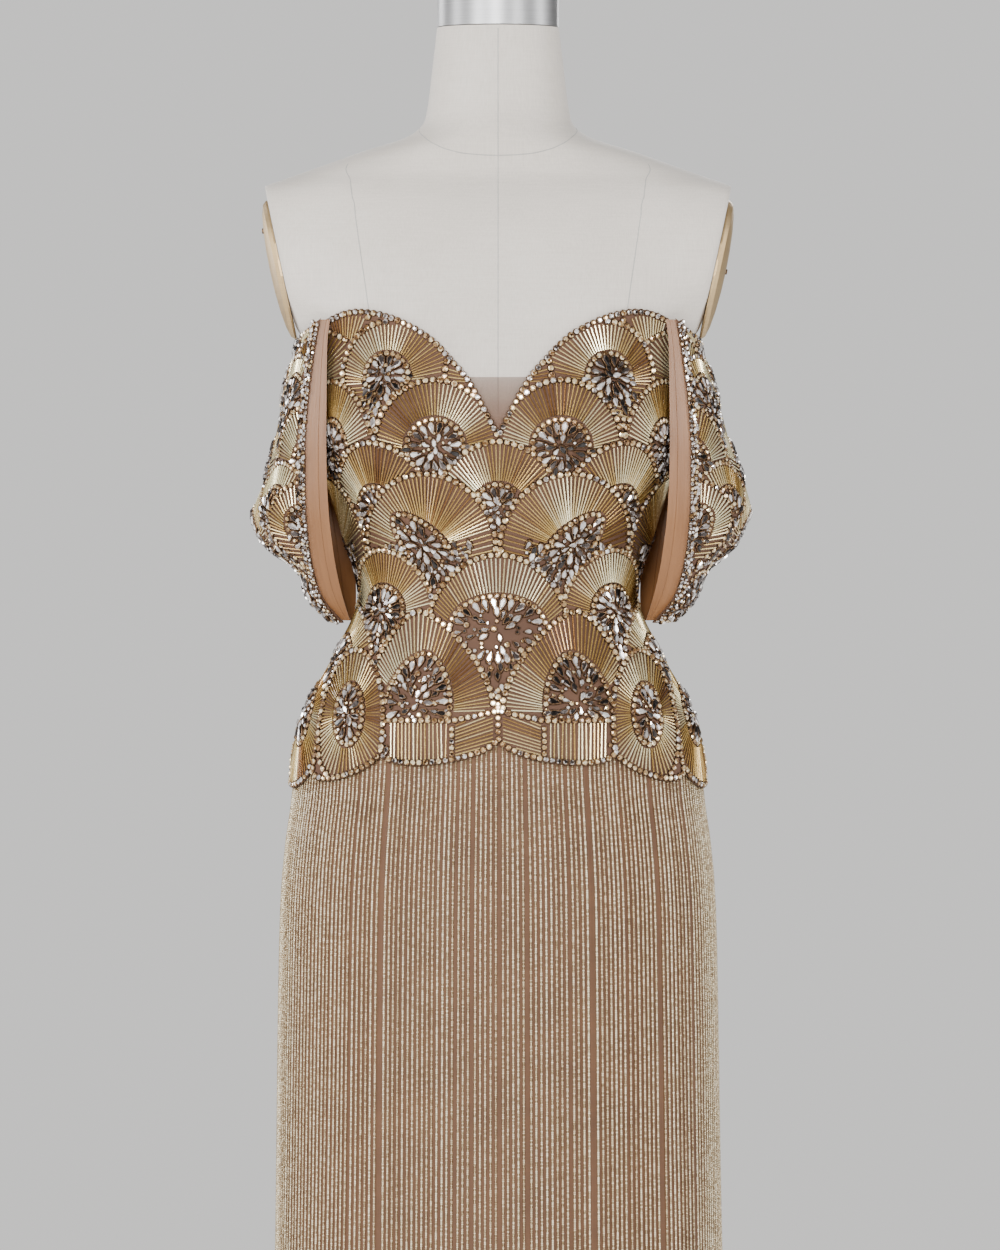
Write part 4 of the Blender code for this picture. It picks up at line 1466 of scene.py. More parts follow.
@dataclass
class FanWork:
    """The beads of one scallop.

    Args:
        rules: how its cloth is beaded.
        fan: its outline and its heart.
        over: the scallops that lie over it.
        set_down: place and room of each crystal in its heart so far.
    """

    rules: Beading
    fan: Scallop
    over: Sequence[Scallop]
    set_down: list[tuple[float, float, float]] = field(default_factory=list)

    def build(self) -> None:
        """Sets the rim, the bugles, and the heart: pears that point inwards, large, and small."""
        self.work, self.chance = self.rules.work, self.rules.work.chance
        self.rim()
        self.tubes()
        self.ring()
        self.pears()
        for _ in range(round(self.rules.large_tries * self.fan.full**4)):
            self.large(self.somewhere(0.8))
        for _ in range(round(self.rules.small_tries * self.fan.full**5)):
            self.small(self.somewhere(1))

    def is_free(self, place: Place, margin: float) -> bool:
        """Whether a place is clear of the scallops over this one and of the cloth's edges."""
        covered = any(one.holds(place, -margin) for one in self.over)
        return not covered and self.rules.inside(place, self.rules.edge + margin)

    def rim(self) -> None:
        """Sets the stones along the outline."""
        half, chance = self.rules.stone, self.chance
        clear = 0.55 * half - self.rules.edge * 0.2
        turns = (-pi + tau * k / 720 for k in range(721))
        outline = lambda turn: self.fan.rim(turn, half)
        fits = lambda turn, place: self.is_free(place, clear)
        for place in paced(turns, outline, self.rules.stone_pitch, fits):
            glass = Glass.SMOKE if chance.random() < 0.12 else Glass.CHAMPAGNE
            size, tone = half * chance.uniform(0.92, 1.06), chance.uniform(0.4, 0.95)
            self.work.stone(Kind.ROUND, place, size, tone, chance.uniform(0, 1), glass)

    def ring(self) -> None:
        """Rings the heart with small stones, and leaves a fan's heart open at its foot."""
        half, chance, fan = self.rules.small_stone, self.chance, self.fan
        turns = (radians((k - 270) / 1.5) for k in range(541))

        def fits(turn: float, place: Place) -> bool:
            """Whether the ring has a stone there."""
            ringed = fan.is_rosette or abs(turn + fan.lean) < radians(112)
            return ringed and self.is_free(place, 0.2 * MM)

        outline = lambda turn: fan.heart_point(turn, half)
        for place in paced(turns, outline, self.rules.small_pitch, fits):
            size, tone = half * chance.uniform(0.9, 1.05), chance.uniform(0.35, 0.9)
            self.work.stone(Kind.ROUND, place, size, tone, chance.uniform(0, 1))

    def tubes(self) -> None:
        """Lays the bugles from the heart out to the outline or to what lies over it."""
        shade, fan = self.bugle_light_and_shade(), self.fan
        aim = fan.height - fan.drop
        outer = (fan.tall + fan.wide) / 2 + fan.drop
        count = round(2 * fan.sweep * outer / self.rules.tube_pitch)
        for k in range(count + (0 if fan.is_rosette else 1)):
            turn = -fan.sweep + 2 * fan.sweep * k / count
            self.lay(aim, turn, shade(turn))
        if fan.is_rosette:
            return
        step = self.rules.tube_pitch * 0.8 / sin(fan.sweep)
        for side in (-1, 1):
            for k in range(1, 14):
                turn = side * (fan.sweep + 0.02 * k)
                if not self.lay(aim - step * k, turn, shade(turn)):
                    break

    def lay(self, aim: float, turn: float, tone: float) -> bool:
        """Lays one bugle along a ray, as far as there is room.

        Args:
            aim: the height in the scallop's middle that the ray starts from.
            turn: its direction, clockwise from straight up.
            tone: the bugle's light or dark.

        Returns:
            Whether there was room for it.
        """
        rules, fan = self.rules, self.fan
        across, up = sin(turn), cos(turn)
        first = last = None
        for reach in np.arange(2 * MM, 1.5 * fan.tall + fan.drop, rules.tube_step):
            place = (fan.across + across * reach, aim + up * reach)
            good = (
                not fan.in_heart(place, -0.25 * rules.small_stone)
                and fan.holds(place, 2 * rules.stone - 0.3 * MM)
                and self.is_free(place, -0.4 * MM)
            )
            if good:
                first, last = first or place, place
            elif first is not None:
                break
        if first is None or dist(first, last) < rules.shortest_tube:
            return False
        self.work.tube(first, last, tone + self.chance.uniform(-0.13, 0.13))
        return True

    def bugle_light_and_shade(self) -> Callable[[float], float]:
        """The tone of the bugles by their turn: pale and amber stretches, partly own colour and
        partly painted light and shade.
        """
        chance = self.chance
        base = chance.uniform(0.56, 0.72) + self.rules.sheen
        swing, phase = chance.uniform(0.16, 0.32), chance.uniform(0, tau)
        # Painted shade: the last term darkens the bugles as they turn clockwise, the side of each
        # fan away from the light.
        return lambda turn: base + swing * sin(2.4 * turn + phase) - 0.06 * sin(turn)

    def somewhere(self, top: float) -> Place:
        """A random place, from under the heart to a share of its height."""
        x, y = self.chance.uniform(-1, 1), self.chance.uniform(-2.2, top)
        fan = self.fan
        return fan.across + x * fan.heart_wide, fan.height + y * fan.heart_tall

    def pears(self) -> None:
        """A ring of pears, where the heart has room for them."""
        fan = self.fan
        inset = 2 * self.rules.small_stone + 1.3 * self.rules.pear
        if min(fan.heart_wide, fan.heart_tall) <= inset + 1 * MM:
            return
        mean = (fan.heart_wide + fan.heart_tall) / 2 - inset
        pitch = 6.4 * MM if fan.full > 0.9 else 8.0 * MM
        around = max(5, round(tau * mean / pitch))
        for k in range(around):
            place = fan.heart_point(tau * (k + 0.5) / around, inset)
            size = self.rules.pear * self.chance.uniform(0.88, 1.06)
            self.put(Kind.PEAR, place, size, Glass.SMOKE, 5.6 * MM, 1.25)

    def large(self, place: Place) -> None:
        """A pear or a navette, if it has room."""
        kind = self.chance.choice((Kind.PEAR, Kind.PEAR, Kind.NAVETTE))
        self.put(kind, place, self.chance.uniform(2.3, 3.1) * MM, Glass.SMOKE, 5.1 * MM, 1.1)

    def small(self, place: Place) -> None:
        """A round stone or a small one, if it has room."""
        if self.chance.random() < 0.3:
            size = self.chance.uniform(2.1, 2.5) * MM
            self.put(Kind.ROUND, place, size, Glass.CHAMPAGNE, 4.6 * MM)
        else:
            size = self.chance.uniform(1.4, 1.85) * MM
            glass = self.chance.choice((Glass.CHAMPAGNE, Glass.SMOKE, Glass.SMOKE))
            self.put(Kind.SMALL_ROUND, place, size, glass, 3.0 * MM)

    def put(
        self, kind: Kind, place: Place, size: float, glass: Glass, room: float, long: float = 1
    ) -> None:
        """Sets a crystal, if its place is in the heart and free.

        Args:
            kind: its cut.
            place: distance and height.
            size: its half width.
            glass: its colour.
            room: how wide a place it takes up.
            long: its length as a share of its usual one.
        """
        fan, chance = self.fan, self.chance
        x, y = place[0] - fan.across, place[1] - fan.height
        below = not fan.is_rosette and y < 0
        in_tip = below and abs(x) < fan.heart_wide and fan.holds(place)
        in_ring = not below and fan.in_heart(place, 2 * self.rules.small_stone + 0.4 * size)
        if not (in_tip or in_ring) or not self.is_free(place, 0.7 * size - 1.5 * MM):
            return
        if any(dist(place, other[:2]) < (room + other[2]) / 2 for other in self.set_down):
            return
        self.set_down.append((*place, room))
        heading = atan2(x, y) if fan.in_heart(place) else 0.25 * atan2(x, -y) * -1
        if glass is Glass.SMOKE:
            tone = chance.choice((0.05, 0.15, 0.35, 0.55, 0.75, 0.95))
        else:
            tone = chance.uniform(0.4, 0.9)
        heading += chance.uniform(-0.2, 0.2)
        lift = chance.uniform(0, 0.6) * MM
        self.work.stone(kind, place, size, tone, heading, glass, lift, long)


def paced(
    spots: Iterable[object], place_of: Callable[[object], Place], pitch: float,
    fits: Callable[[object, Place], bool],
) -> Iterable[Place]:
    """The places along a line where the next stone has room.

    Args:
        spots: what the places are worked out from.
        place_of: the place of a spot.
        pitch: from one stone to the next.
        fits: whether a spot and its place may have one.

    Returns:
        The places, one by one.
    """
    walked, last = pitch, None
    for spot in spots:
        place = place_of(spot)
        walked += dist(place, last) if last else 0.0
        last = place
        if walked >= pitch and fits(spot, place):
            walked = 0.0
            yield place


def edging(work: Work, line: Sequence[Place], pitch: float, smoke: float = 0.15) -> None:
    """Sets round stones evenly along a line.

    Args:
        work: where the stones go.
        line: its places on the cloth.
        pitch: from one stone to the next.
        smoke: the share of them that is smoke-grey.
    """
    chance = work.chance
    for place in paced(line, lambda place: place, pitch, lambda spot, place: True):
        tone = chance.uniform(0.35, 0.95)
        glass = Glass.SMOKE if chance.random() < smoke else Glass.CHAMPAGNE
        size = pitch * 0.46 * chance.uniform(0.93, 1.05)
        work.stone(Kind.ROUND, place, size, tone, chance.uniform(0, 1), glass)


# ------------------------ the gown


@dataclass(frozen=True)
class FanRow:
    """One row of fans.

    Args:
        height: of the hearts' middles.
        spacing: from one fan to the next.
        first: how many spacings off centre the first is.
        outline: half sizes of the outline, across and up.
        heart: half sizes of the heart.
        near: the outline's half width towards centre front, where it differs.
        lean: how far the heart turns to centre front.
    """

    height: float
    spacing: float
    first: float
    outline: tuple[float, float]
    heart: tuple[float, float]
    near: float = 0.0
    lean: float = 0.0
    sweep: float = radians(80)

    def fans(self, a_side: int, reach: float) -> list[Scallop]:
        """The row's fans, the outermost first.

        Args:
            a_side: how many there are at most on each side.
            reach: how far from the middle they may lie.

        Returns:
            The fans.
        """
        steps = {side * (self.first + k) for k in range(a_side) for side in (-1, 1)}
        made = []
        for step in sorted(steps, key=lambda step: (-abs(step), step)):
            across = step * self.spacing
            if abs(across) < reach:
                lean = -copysign(self.lean, across) if self.lean else 0.0
                sizes = (*self.outline, *self.heart, self.near)
                made.append(Scallop(across, self.height, *sizes, lean=lean, sweep=self.sweep))
        return made


@dataclass(frozen=True)
class Panel:
    """A panel between two angles round the body.

    Args:
        name: the solid that its cloth stands for.
        first, last: the angles of the seams.
        columns: how fine its cloth is across.
        flat, area: its size when it lies flat; not used.
    """

    name: str
    first: float
    last: float
    columns: int
    flat: tuple[float, float]
    area: float

    @property
    def edges(self) -> tuple[float, float]:
        """The angles of the cloth's edges, just inside the seams."""
        return self.first + SEAM_GAP_ANGLE, self.last - SEAM_GAP_ANGLE


@dataclass
class Bodice:
    """The strapless bodice: three cloth panels, and beads over all of them."""

    cloth_from: float = 0.2 * MM
    cloth_thick: float = 1.2 * MM
    panels: tuple = (
        Panel("bodice_front", -pi / 2, pi / 2, 120, (0.47, 0.39), 0.137),
        Panel("bodice_back_right", pi / 2, pi, 60, (0.23, 0.34), 0.066),
        Panel("bodice_back_left", -pi, -pi / 2, 60, (0.23, 0.34), 0.066),
    )
    rows: tuple = (
        FanRow(1.2880, 0.092, 0.5, (0.056, 0.054), (0.007, 0.007), sweep=radians(75)),
        FanRow(1.2800, 0.092, 0.0, (0.046, 0.048), (0.0215, 0.0215), 0.078, sweep=radians(92)),
        FanRow(1.2245, 0.102, 0.5, (0.053, 0.0555), (0.0255, 0.0235)),
        FanRow(1.1755, 0.106, 0.0, (0.055, 0.0555), (0.0220, 0.0205)),
        FanRow(1.1450, 0.122, 0.5, (0.062, 0.061), (0.038, 0.0165), lean=0.7, sweep=radians(72)),
        FanRow(1.0900, 0.105, 1.0, (0.054, 0.054), (0.0260, 0.0240)),
        FanRow(1.0480, 0.105, 1.5, (0.050, 0.050), (0.0240, 0.0240)),
    )
    fans_a_side: int = 5
    centre_fan: Scallop = field(default_factory=lambda: Scallop(
        0.0, 1.0745, 0.0615, 0.065, 0.042, 0.031, drop=24 * MM, sweep=radians(52), full=0.75))
    hip_fan: tuple = (0.0665, 1.0140)
    lobe_line: float = 1.0015
    band_reach: float = 0.0925
    divider: float = 0.0375
    uprights_from: float = 0.0425
    slants_from: float = 0.0345
    front_reach: float = 0.13
    rosette_height: float = 1.006
    notch_height: float = 0.975
    grid_rows: int = 104
    mean_radius: float = 0.15
    mean_tall: float = 0.34

    def build(self) -> None:
        """Makes the cloth, the insert and the beadwork."""
        top = self.cloth_from + self.cloth_thick
        self.ground = Ground(lambda a, h: bodice(a, h, top), (-pi, 0.935), (pi, 1.345))
        self.measure()
        self.pattern = self.scallops()
        self.ground.domes = [scallop.dome() for scallop in self.pattern]
        cloths = [self.cloth(panel) for panel in self.panels]
        for panel, cloth, beads in zip(self.panels, cloths, self.beadwork()):
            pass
        self.insert()

    def cloth(self, panel: Panel) -> Piece:
        """One panel's cloth, padded under the hearts.

        Args:
            panel: which one.

        Returns:
            The piece.
        """
        first, last = panel.edges

        def face(across: Array, up: Array, distance: float) -> Array:
            """The points of the cloth."""
            angle = first + (last - first) * across
            low, high = scalloped_hem(angle), neckline(angle)
            height = low + (high - low) * up
            spots = self.ground.distances(angle, height)
            padding = self.ground.rise(spots, height) if distance else 0.0
            points = bodice(angle, height, self.cloth_from + distance)
            return points + away(angle) * np.broadcast_to(padding, angle.shape)[..., None]

        grid = (panel.columns, self.grid_rows)
        weave = (abs(last - first) * self.mean_radius, self.mean_tall)
        cut = Cut(grid, self.cloth_thick, SHADED_NUDE_GROUND, weave, "gold_beading", panel.name)
        return shell(f"{panel.name}_cloth", face, cut)

    def insert(self) -> None:
        """The sheer insert in the V between the cups, with its folded upper edge."""
        low, top = NECKLINE.rows[0, 1] + 4 * MM, MESH_TOP - 6 * MM

        def face(across: Array, up: Array, distance: float) -> Array:
            """The points of the cloth."""
            height = low + (top - low) * up
            reach = np.radians(np.interp(height, NECKLINE.rows[:4, 1], NECKLINE.rows[:4, 0]))
            angle = (2 * across - 1) * np.maximum(reach - 0.004, 0.002)
            hem = 0.25 * MM * eased(0.93, 0.95, up) if distance else 0.0
            return moved_out(figure, angle, height, 0.5 * MM + distance + hem)

        cut = Cut((24, 44), 0.5 * MM, NUDE_TULLE, INSERT_WEAVE, "nude_tulle", "neck_mesh")
        made = shell("neck_insert", face, cut)

    def low(self, x: float) -> float:
        """The hem's height at a distance."""
        return float(np.interp(abs(x), self.hem_distance, self.hem_height))

    def high(self, x: float) -> float:
        """The neckline's height at a distance."""
        return float(np.interp(abs(x), self.neck_distance, self.neck_height))

    def measure(self) -> None:
        """Reads the neckline and the hem along the cloth."""
        angles = np.linspace(0, pi, 361)
        self.neck_height, self.hem_height = neckline(angles), scalloped_hem(angles)
        self.neck_distance = self.ground.distances(angles, self.neck_height)
        self.hem_distance = self.ground.distances(angles, self.hem_height)

    def scallops(self) -> list[Scallop]:
        """The pattern, each scallop over those before it."""
        made = []
        for row in self.rows:
            made.extend(row.fans(self.fans_a_side, self.ground.reach(row.height) + 0.03))
        made.append(self.centre_fan)
        across, height = self.hip_fan
        for side in (-1, 1):
            made.append(Scallop(
                side * across, height, 0.052, 0.079, 0.030, 0.045, near_wide=0.0655, power=1.5,
                heart_power=1.7, sweep=radians(88), drop=6 * MM, lean=-side * 0.2, full=0.95,
            ))
        marks = np.radians(NOTCHES.rows[:, 0])
        for first, last in reversed(list(zip(marks[1:], marks[2:]))):
            middle = (first + last) / 2
            across = self.ground.distance_at(middle, self.rosette_height)
            ends = [self.ground.distance_at(mark, self.notch_height) for mark in (first, last)]
            half = (ends[1] - ends[0]) / 2
            depth = self.rosette_height - float(scalloped_hem(middle))
            for side in (-1, 1):
                made.append(Scallop(
                    side * across, self.rosette_height, half, depth + 3 * MM, 0.0165, 0.0265,
                    power=2.0, low_power=3.2, sweep=pi, drop=0.0,
                ))
        return made

    def closure(self, height: float) -> float:
        """How far round the beads go: right up to the zip."""
        return self.ground.reach(height) + 2.0 * MM

    def beadwork(self) -> list[Piece]:
        """Beads the pattern, the lobes at the front and the edges."""
        pieces = []
        for name, mine in (
            ("bodice_front_beading", lambda x: abs(x) <= self.front_reach),
            ("bodice_right_beading", lambda x: x > self.front_reach),
            ("bodice_left_beading", lambda x: x < -self.front_reach),
        ):
            work = Work(name, self.ground, 7 + len(pieces))
            beading = Beading(
                work, self.pattern, self.low, self.high, self.closure, self.in_front_band
            )
            for number, scallop in enumerate(self.pattern):
                if mine(scallop.across):
                    beading.bead(number)
            self.edges(work, mine)
            if not pieces:
                self.front_band(work)
            pieces.append(work.finish())
        return pieces

    def in_front_band(self, place: Place) -> bool:
        """Whether a place lies in the straight band under the two hip fans."""
        x, y = abs(place[0]), place[1]
        return x < self.band_reach and y < self.band_top(x) + 2.6 * MM

    def band_top(self, x: float) -> float:
        """The height of the stones over the band."""
        return self.lobe_line + 8 * MM * max(0.0, 1 - abs(x) / 0.038)

    def edges(self, work: Work, mine: Callable[[float], bool]) -> None:
        """Sets stones along the neckline and the hem, at the distances that are this piece's."""
        angles = np.linspace(-pi + 0.02, pi - 0.02, 3000)
        for edge, shift, smoke in ((neckline, -2.0 * MM, 0.55), (scalloped_hem, 2.3 * MM, 0.3)):
            spots = [(angle, float(edge(angle)) + shift) for angle in angles]
            line = [(self.ground.distance_at(angle, height), height) for angle, height in spots]
            edging(work, [place for place in line if mine(place[0])], 5.2 * MM, smoke)

    def front_band(self, work: Work) -> None:
        """The two front lobes: their stones, and upright and slanting bugles."""
        for side in (-1, 1):
            over = np.linspace(0.003, self.band_reach - 1 * MM, 400)
            edging(work, [(side * x, self.band_top(x)) for x in over], 5.4 * MM)
            low, high = self.low(self.divider) + 6.5 * MM, self.band_top(self.divider) - 4.5 * MM
            heights = [low + (high - low) * t for t in np.linspace(0, 1, 80)]
            edging(work, [(side * self.divider, height) for height in heights], 5.0 * MM)
            self.uprights(work, side)
            self.slants(work, side)
        foot = self.low(0.0) + 6 * MM
        edging(work, [(0.0, foot + 0.036 * t) for t in np.linspace(0, 1, 80)], 5.2 * MM)

    def uprights(self, work: Work, side: int) -> None:
        """The upright bugles of one lobe."""
        chance = work.chance
        for x in np.arange(self.uprights_from, self.band_reach - 1.2 * MM, 3.3 * MM):
            first = (side * (x + chance.uniform(-0.3, 0.3) * MM), self.low(x) + 4.4 * MM)
            last = (side * (x + chance.uniform(-0.5, 0.5) * MM), self.band_top(x) - 2.2 * MM)
            work.tube(first, last, chance.uniform(0.5, 0.95))

    def slants(self, work: Work, side: int) -> None:
        """The bugles of one lobe that slant up to the middle."""
        for k in range(-2, 14):
            foot, climb = self.low(self.slants_from) + 2.6 * MM * k, 7.5 * MM + 0.4 * MM * k
            ends = []
            for t in np.linspace(0, 1, 30):
                x, y = self.slants_from - 0.0305 * t, foot + climb * t
                if self.low(x) + 4.8 * MM < y < self.band_top(x) - 2.9 * MM:
                    ends.append((side * x, y))
            if len(ends) > 6:
                work.tube(ends[0], ends[-1], work.chance.uniform(0.35, 0.75))


@dataclass
class Skirt:
    """The column skirt: nude cloth under upright strands of seed beads."""

    cloth_thick: float = 0.9 * MM
    mean_radius: float = 0.17
    strands: int = 226
    strand_half: float = 0.88 * MM
    strand_rise: float = 0.75 * MM
    chance_of_gap: float = 0.13
    segments: int = 34
    sides: int = 6
    gaps: tuple = (-0.098, 0.073, 0.132)
    panels: tuple = (
        Panel("skirt_front", -pi / 2, pi / 2, 108, (0.60, 1.0), 0.60 * 0.92),
        Panel("skirt_back_right", pi / 2, pi, 54, (0.30, 1.0), 0.30 * 0.92),
        Panel("skirt_back_left", -pi, -pi / 2, 54, (0.30, 1.0), 0.30 * 0.92),
    )

    def build(self) -> None:
        """Makes the cloth and the strands of each panel."""
        chance = random.Random(31)
        angles = self.strand_angles(chance)
        for panel in self.panels:
            cloth = self.cloth(panel)
            mine = [a for a in angles if panel.first + 0.006 < a < panel.last - 0.006]
            beads = self.strand_piece(f"{panel.name}_strands", mine, chance)

    def strand_angles(self, chance: random.Random) -> list[float]:
        """Where the strands lie: evenly round the hip, a little uneven, with bare gaps.

        Args:
            chance: what makes them uneven.

        Returns:
            Their angles.
        """
        ground = Ground(lambda a, h: skirt(a, h), (-pi, 0.5), (pi, 0.95))
        reach = ground.reach(HIP_HEIGHT)
        pitch = 2 * reach / self.strands
        places, spot = [], -reach + pitch / 2
        while spot < reach - pitch / 3:
            places.append(spot)
            spot += pitch * chance.uniform(0.9, 1.04)
            if any(spot - pitch < gap <= spot for gap in self.gaps):
                spot += 0.8 * pitch
            elif chance.random() < self.chance_of_gap:
                spot += pitch * chance.uniform(0.15, 0.5)
        return [ground.across_at(spot, HIP_HEIGHT) for spot in places]

    def cloth(self, panel: Panel) -> Piece:
        """One panel's cloth.

        Args:
            panel: which one.

        Returns:
            The piece.
        """
        first, last = panel.edges

        def face(across: Array, up: Array, distance: float) -> Array:
            """The points of the cloth."""
            angle = first + (last - first) * across
            height = SKIRT_HEM + (SKIRT_TOP - SKIRT_HEM) * up
            return moved_out(skirt, angle, height, distance)

        grid, weave = (panel.columns, 80), (abs(last - first) * self.mean_radius, 1.0)
        cut = Cut(grid, self.cloth_thick, SHADED_NUDE_SKIRT, weave, "seed_bead_cloth", panel.name)
        return shell(f"{panel.name}_cloth", face, cut)

    def strand_piece(
        self, name: str, angles: Sequence[float], chance: random.Random
    ) -> Piece:
        """Joins some strands into one piece.

        Args:
            name: the piece's name.
            angles: where the strands lie.
            chance: what gives each strand its tone.

        Returns:
            The piece.
        """
        points, quads, places, tones, caps = [], [], [], [], []
        ring_turns = np.linspace(0, tau, self.sides, endpoint=False)
        count = 0
        for angle in angles:
            top = float(scalloped_hem(np.array(angle))) + 10 * MM
            shares = np.linspace(0, 1, self.segments + 1)
            heights = SKIRT_HEM + 2 * MM + (top - SKIRT_HEM - 2 * MM) * shares
            spot = np.full_like(heights, angle)
            side, _, out = tangents(skirt, spot, heights)
            middle = skirt(spot, heights) + out * (self.cloth_thick + 0.55 * self.strand_rise)
            ring_points = (
                middle[:, None]
                + side[:, None] * (self.strand_half * np.cos(ring_turns))[None, :, None]
                + out[:, None] * (self.strand_rise * np.sin(ring_turns))[None, :, None]
            )
            points.append(ring_points.reshape(-1, 3))
            shift, tone = chance.uniform(0, 1), chance.uniform(0, 1)
            for j in range(self.segments):
                for i in range(self.sides):
                    k = (i + 1) % self.sides
                    a, b = count + j * self.sides, count + (j + 1) * self.sides
                    quads.append((a + i, a + k, b + k, b + i))
                    low, high = heights[j] + shift, heights[j + 1] + shift
                    places.extend(((i, low), (i + 1, low), (i + 1, high), (i, high)))
                    tones.append(tone)
            last = count + self.segments * self.sides
            caps.append(tuple(count + i for i in reversed(range(self.sides))))
            caps.append(tuple(last + i for i in range(self.sides)))
            count += len(ring_points) * self.sides
        mesh = bpy.data.meshes.new(name)
        mesh.from_pydata(np.concatenate(points), [], quads + caps)
        flat = np.zeros((len(mesh.loops), 2))
        flat[: len(places)] = np.array(places) * (1 / self.sides, 1)
        lay_out(mesh, flat)
        tone_faces(mesh, tones + [0.5] * len(caps))
        mesh.polygons.foreach_set("use_smooth", [True] * len(quads) + [False] * len(caps))
        made = mounted(name, mesh, [SeedBeadStrand()], "seed_bead_cloth")
        LOG.info("%s: %d strands", name, len(angles))
        return made


@dataclass
class Sleeve:
    """A drop sleeve: a beaded panel, and a silk lining whose turned edges show as strips."""

    side: Side
    panel_wall: float = 1.5 * MM
    lining_wall: float = 0.9 * MM
    lining_gap: float = 0.4 * MM
    turned: float = 0.17
    edge_crystals: tuple = (
        (Kind.NAVETTE, 1.9 * MM), (Kind.SMALL_ROUND, 1.7 * MM), (Kind.SMALL_ROUND, 1.5 * MM)
    )
    rows: tuple = (
        FanRow(1.3080, 0.080, 0.5, (0.046, 0.046), (0.015, 0.018), sweep=radians(100)),
        FanRow(1.2760, 0.088, 0.0, (0.044, 0.046), (0.017, 0.020)),
        FanRow(1.2500, 0.112, 0.5, (0.046, 0.051), (0.027, 0.035)),
        FanRow(1.2150, 0.090, 0.0, (0.045, 0.047), (0.018, 0.020)),
        FanRow(1.1660, 0.112, 0.5, (0.044, 0.048), (0.021, 0.028)),
        FanRow(1.1540, 0.090, 0.0, (0.042, 0.046), (0.021, 0.025)),
        FanRow(1.0980, 0.066, 0.5, (0.036, 0.036), (0.025, 0.028)),
    )

    def build(self) -> None:
        """Makes the panel, its beads and the lining."""
        self.face = sleeve_face("right_out" if self.side is Side.RIGHT else "left_out")
        lows, highs = (-1.0, SLEEVE.rows[0, 0]), (1.0, SLEEVE.rows[-1, 0])
        self.ground = Ground(self.outside, lows, highs, self.side.value)
        self.pattern = [fan for row in self.rows for fan in row.fans(2, 0.13)]
        self.ground.domes = [fan.dome() for fan in self.pattern]
        panel, lining, beads = self.panel(), self.lining(), self.beadwork()

    def outside(self, across: Array, height: Array) -> Array:
        """The face that the beads lie on."""
        return moved_out(self.face, across, height, -0.1 * MM)

    def sided(self, points: Array) -> Array:
        """Turns points of the right sleeve to this side."""
        return points * np.array([self.side.value, 1.0, 1.0])

    def height_at(self, across: Array, up: Array) -> Array:
        """The height at a share up the sleeve."""
        low = SLEEVE.rows[0, 0]
        return low + (sleeve_top(across) - low) * up

    def panel(self) -> Piece:
        """The beaded panel's cloth, padded under the hearts."""

        def face(across: Array, up: Array, distance: float) -> Array:
            """The points of the cloth."""
            spot = self.side.value * (2 * across - 1)
            height = self.height_at(spot, up)
            spots = self.ground.distances(spot, height)
            padding = self.ground.rise(spots, height) if distance else 0.0
            out = distance - self.panel_wall + padding
            return self.sided(moved_out(self.face, spot, height, out))

        cut = Cut((64, 66), self.panel_wall - 0.1 * MM, SHADED_NUDE_GROUND, (0.18, 0.24), "gold_beading",
                  f"sleeve_{self.side.word}_panel")
        return shell(f"sleeve_{self.side.word}_cloth", face, cut)

    def lining(self) -> Piece:
        """The silk lining: in from its turned front edge, round inside the panel, and in again."""

        def face(across: Array, up: Array, distance: float) -> Array:
            """The points of the silk."""
            share = across if self.side is Side.RIGHT else 1 - across
            past = np.maximum(self.turned - share, share - (1 - self.turned))
            past = np.maximum(past, 0) / self.turned
            spot = np.clip((share - self.turned) / (1 - 2 * self.turned), 0, 1) * 2 - 1
            height = self.height_at(spot, up)
            inset = self.panel_wall + self.lining_gap + self.lining_wall - distance
            points = moved_out(self.face, spot, height, -inset)
            front, back = (SLEEVE.at(f"{end}_turned", height) for end in ("front", "back"))
            points[..., 0] += (np.where(spot < 0, front, back) - points[..., 0]) * past
            points[..., 2] += 1 * MM * ((up == 0) * 1.0 - (up == 1) * 1.0)
            return self.sided(points)

        cut = Cut((104, 50), self.lining_wall, LINING_SATIN, (0.25, 0.24), "nude_silk",
                  f"sleeve_{self.side.word}_lining")
        return shell(f"sleeve_{self.side.word}_silk", face, cut)

    def low(self, _: float) -> float:
        """The height of the lower edge."""
        return float(SLEEVE.rows[0, 0])

    def high(self, x: float) -> float:
        """The height of the upper edge at a distance."""
        return float(sleeve_top(np.array(self.ground.across_at(x, 1.30))))

    def reach(self, height: float) -> float:
        """How far the pattern goes, between the double rows of crystals."""
        return self.ground.reach(height) - 3.2 * MM

    def beadwork(self) -> Piece:
        """Beads the panel."""
        work = Work(f"sleeve_{self.side.word}_beading", self.ground, 40 + self.side.value)
        beading = Beading(
            work, self.pattern, self.low, self.high, self.reach, sheen=0.12, stone=2.3 * MM,
            stone_pitch=5.0 * MM, small_stone=2.0 * MM, small_pitch=4.4 * MM, edge=4.2 * MM,
        )
        for number in range(len(self.pattern)):
            beading.bead(number)
        self.edges(work)
        return work.finish()

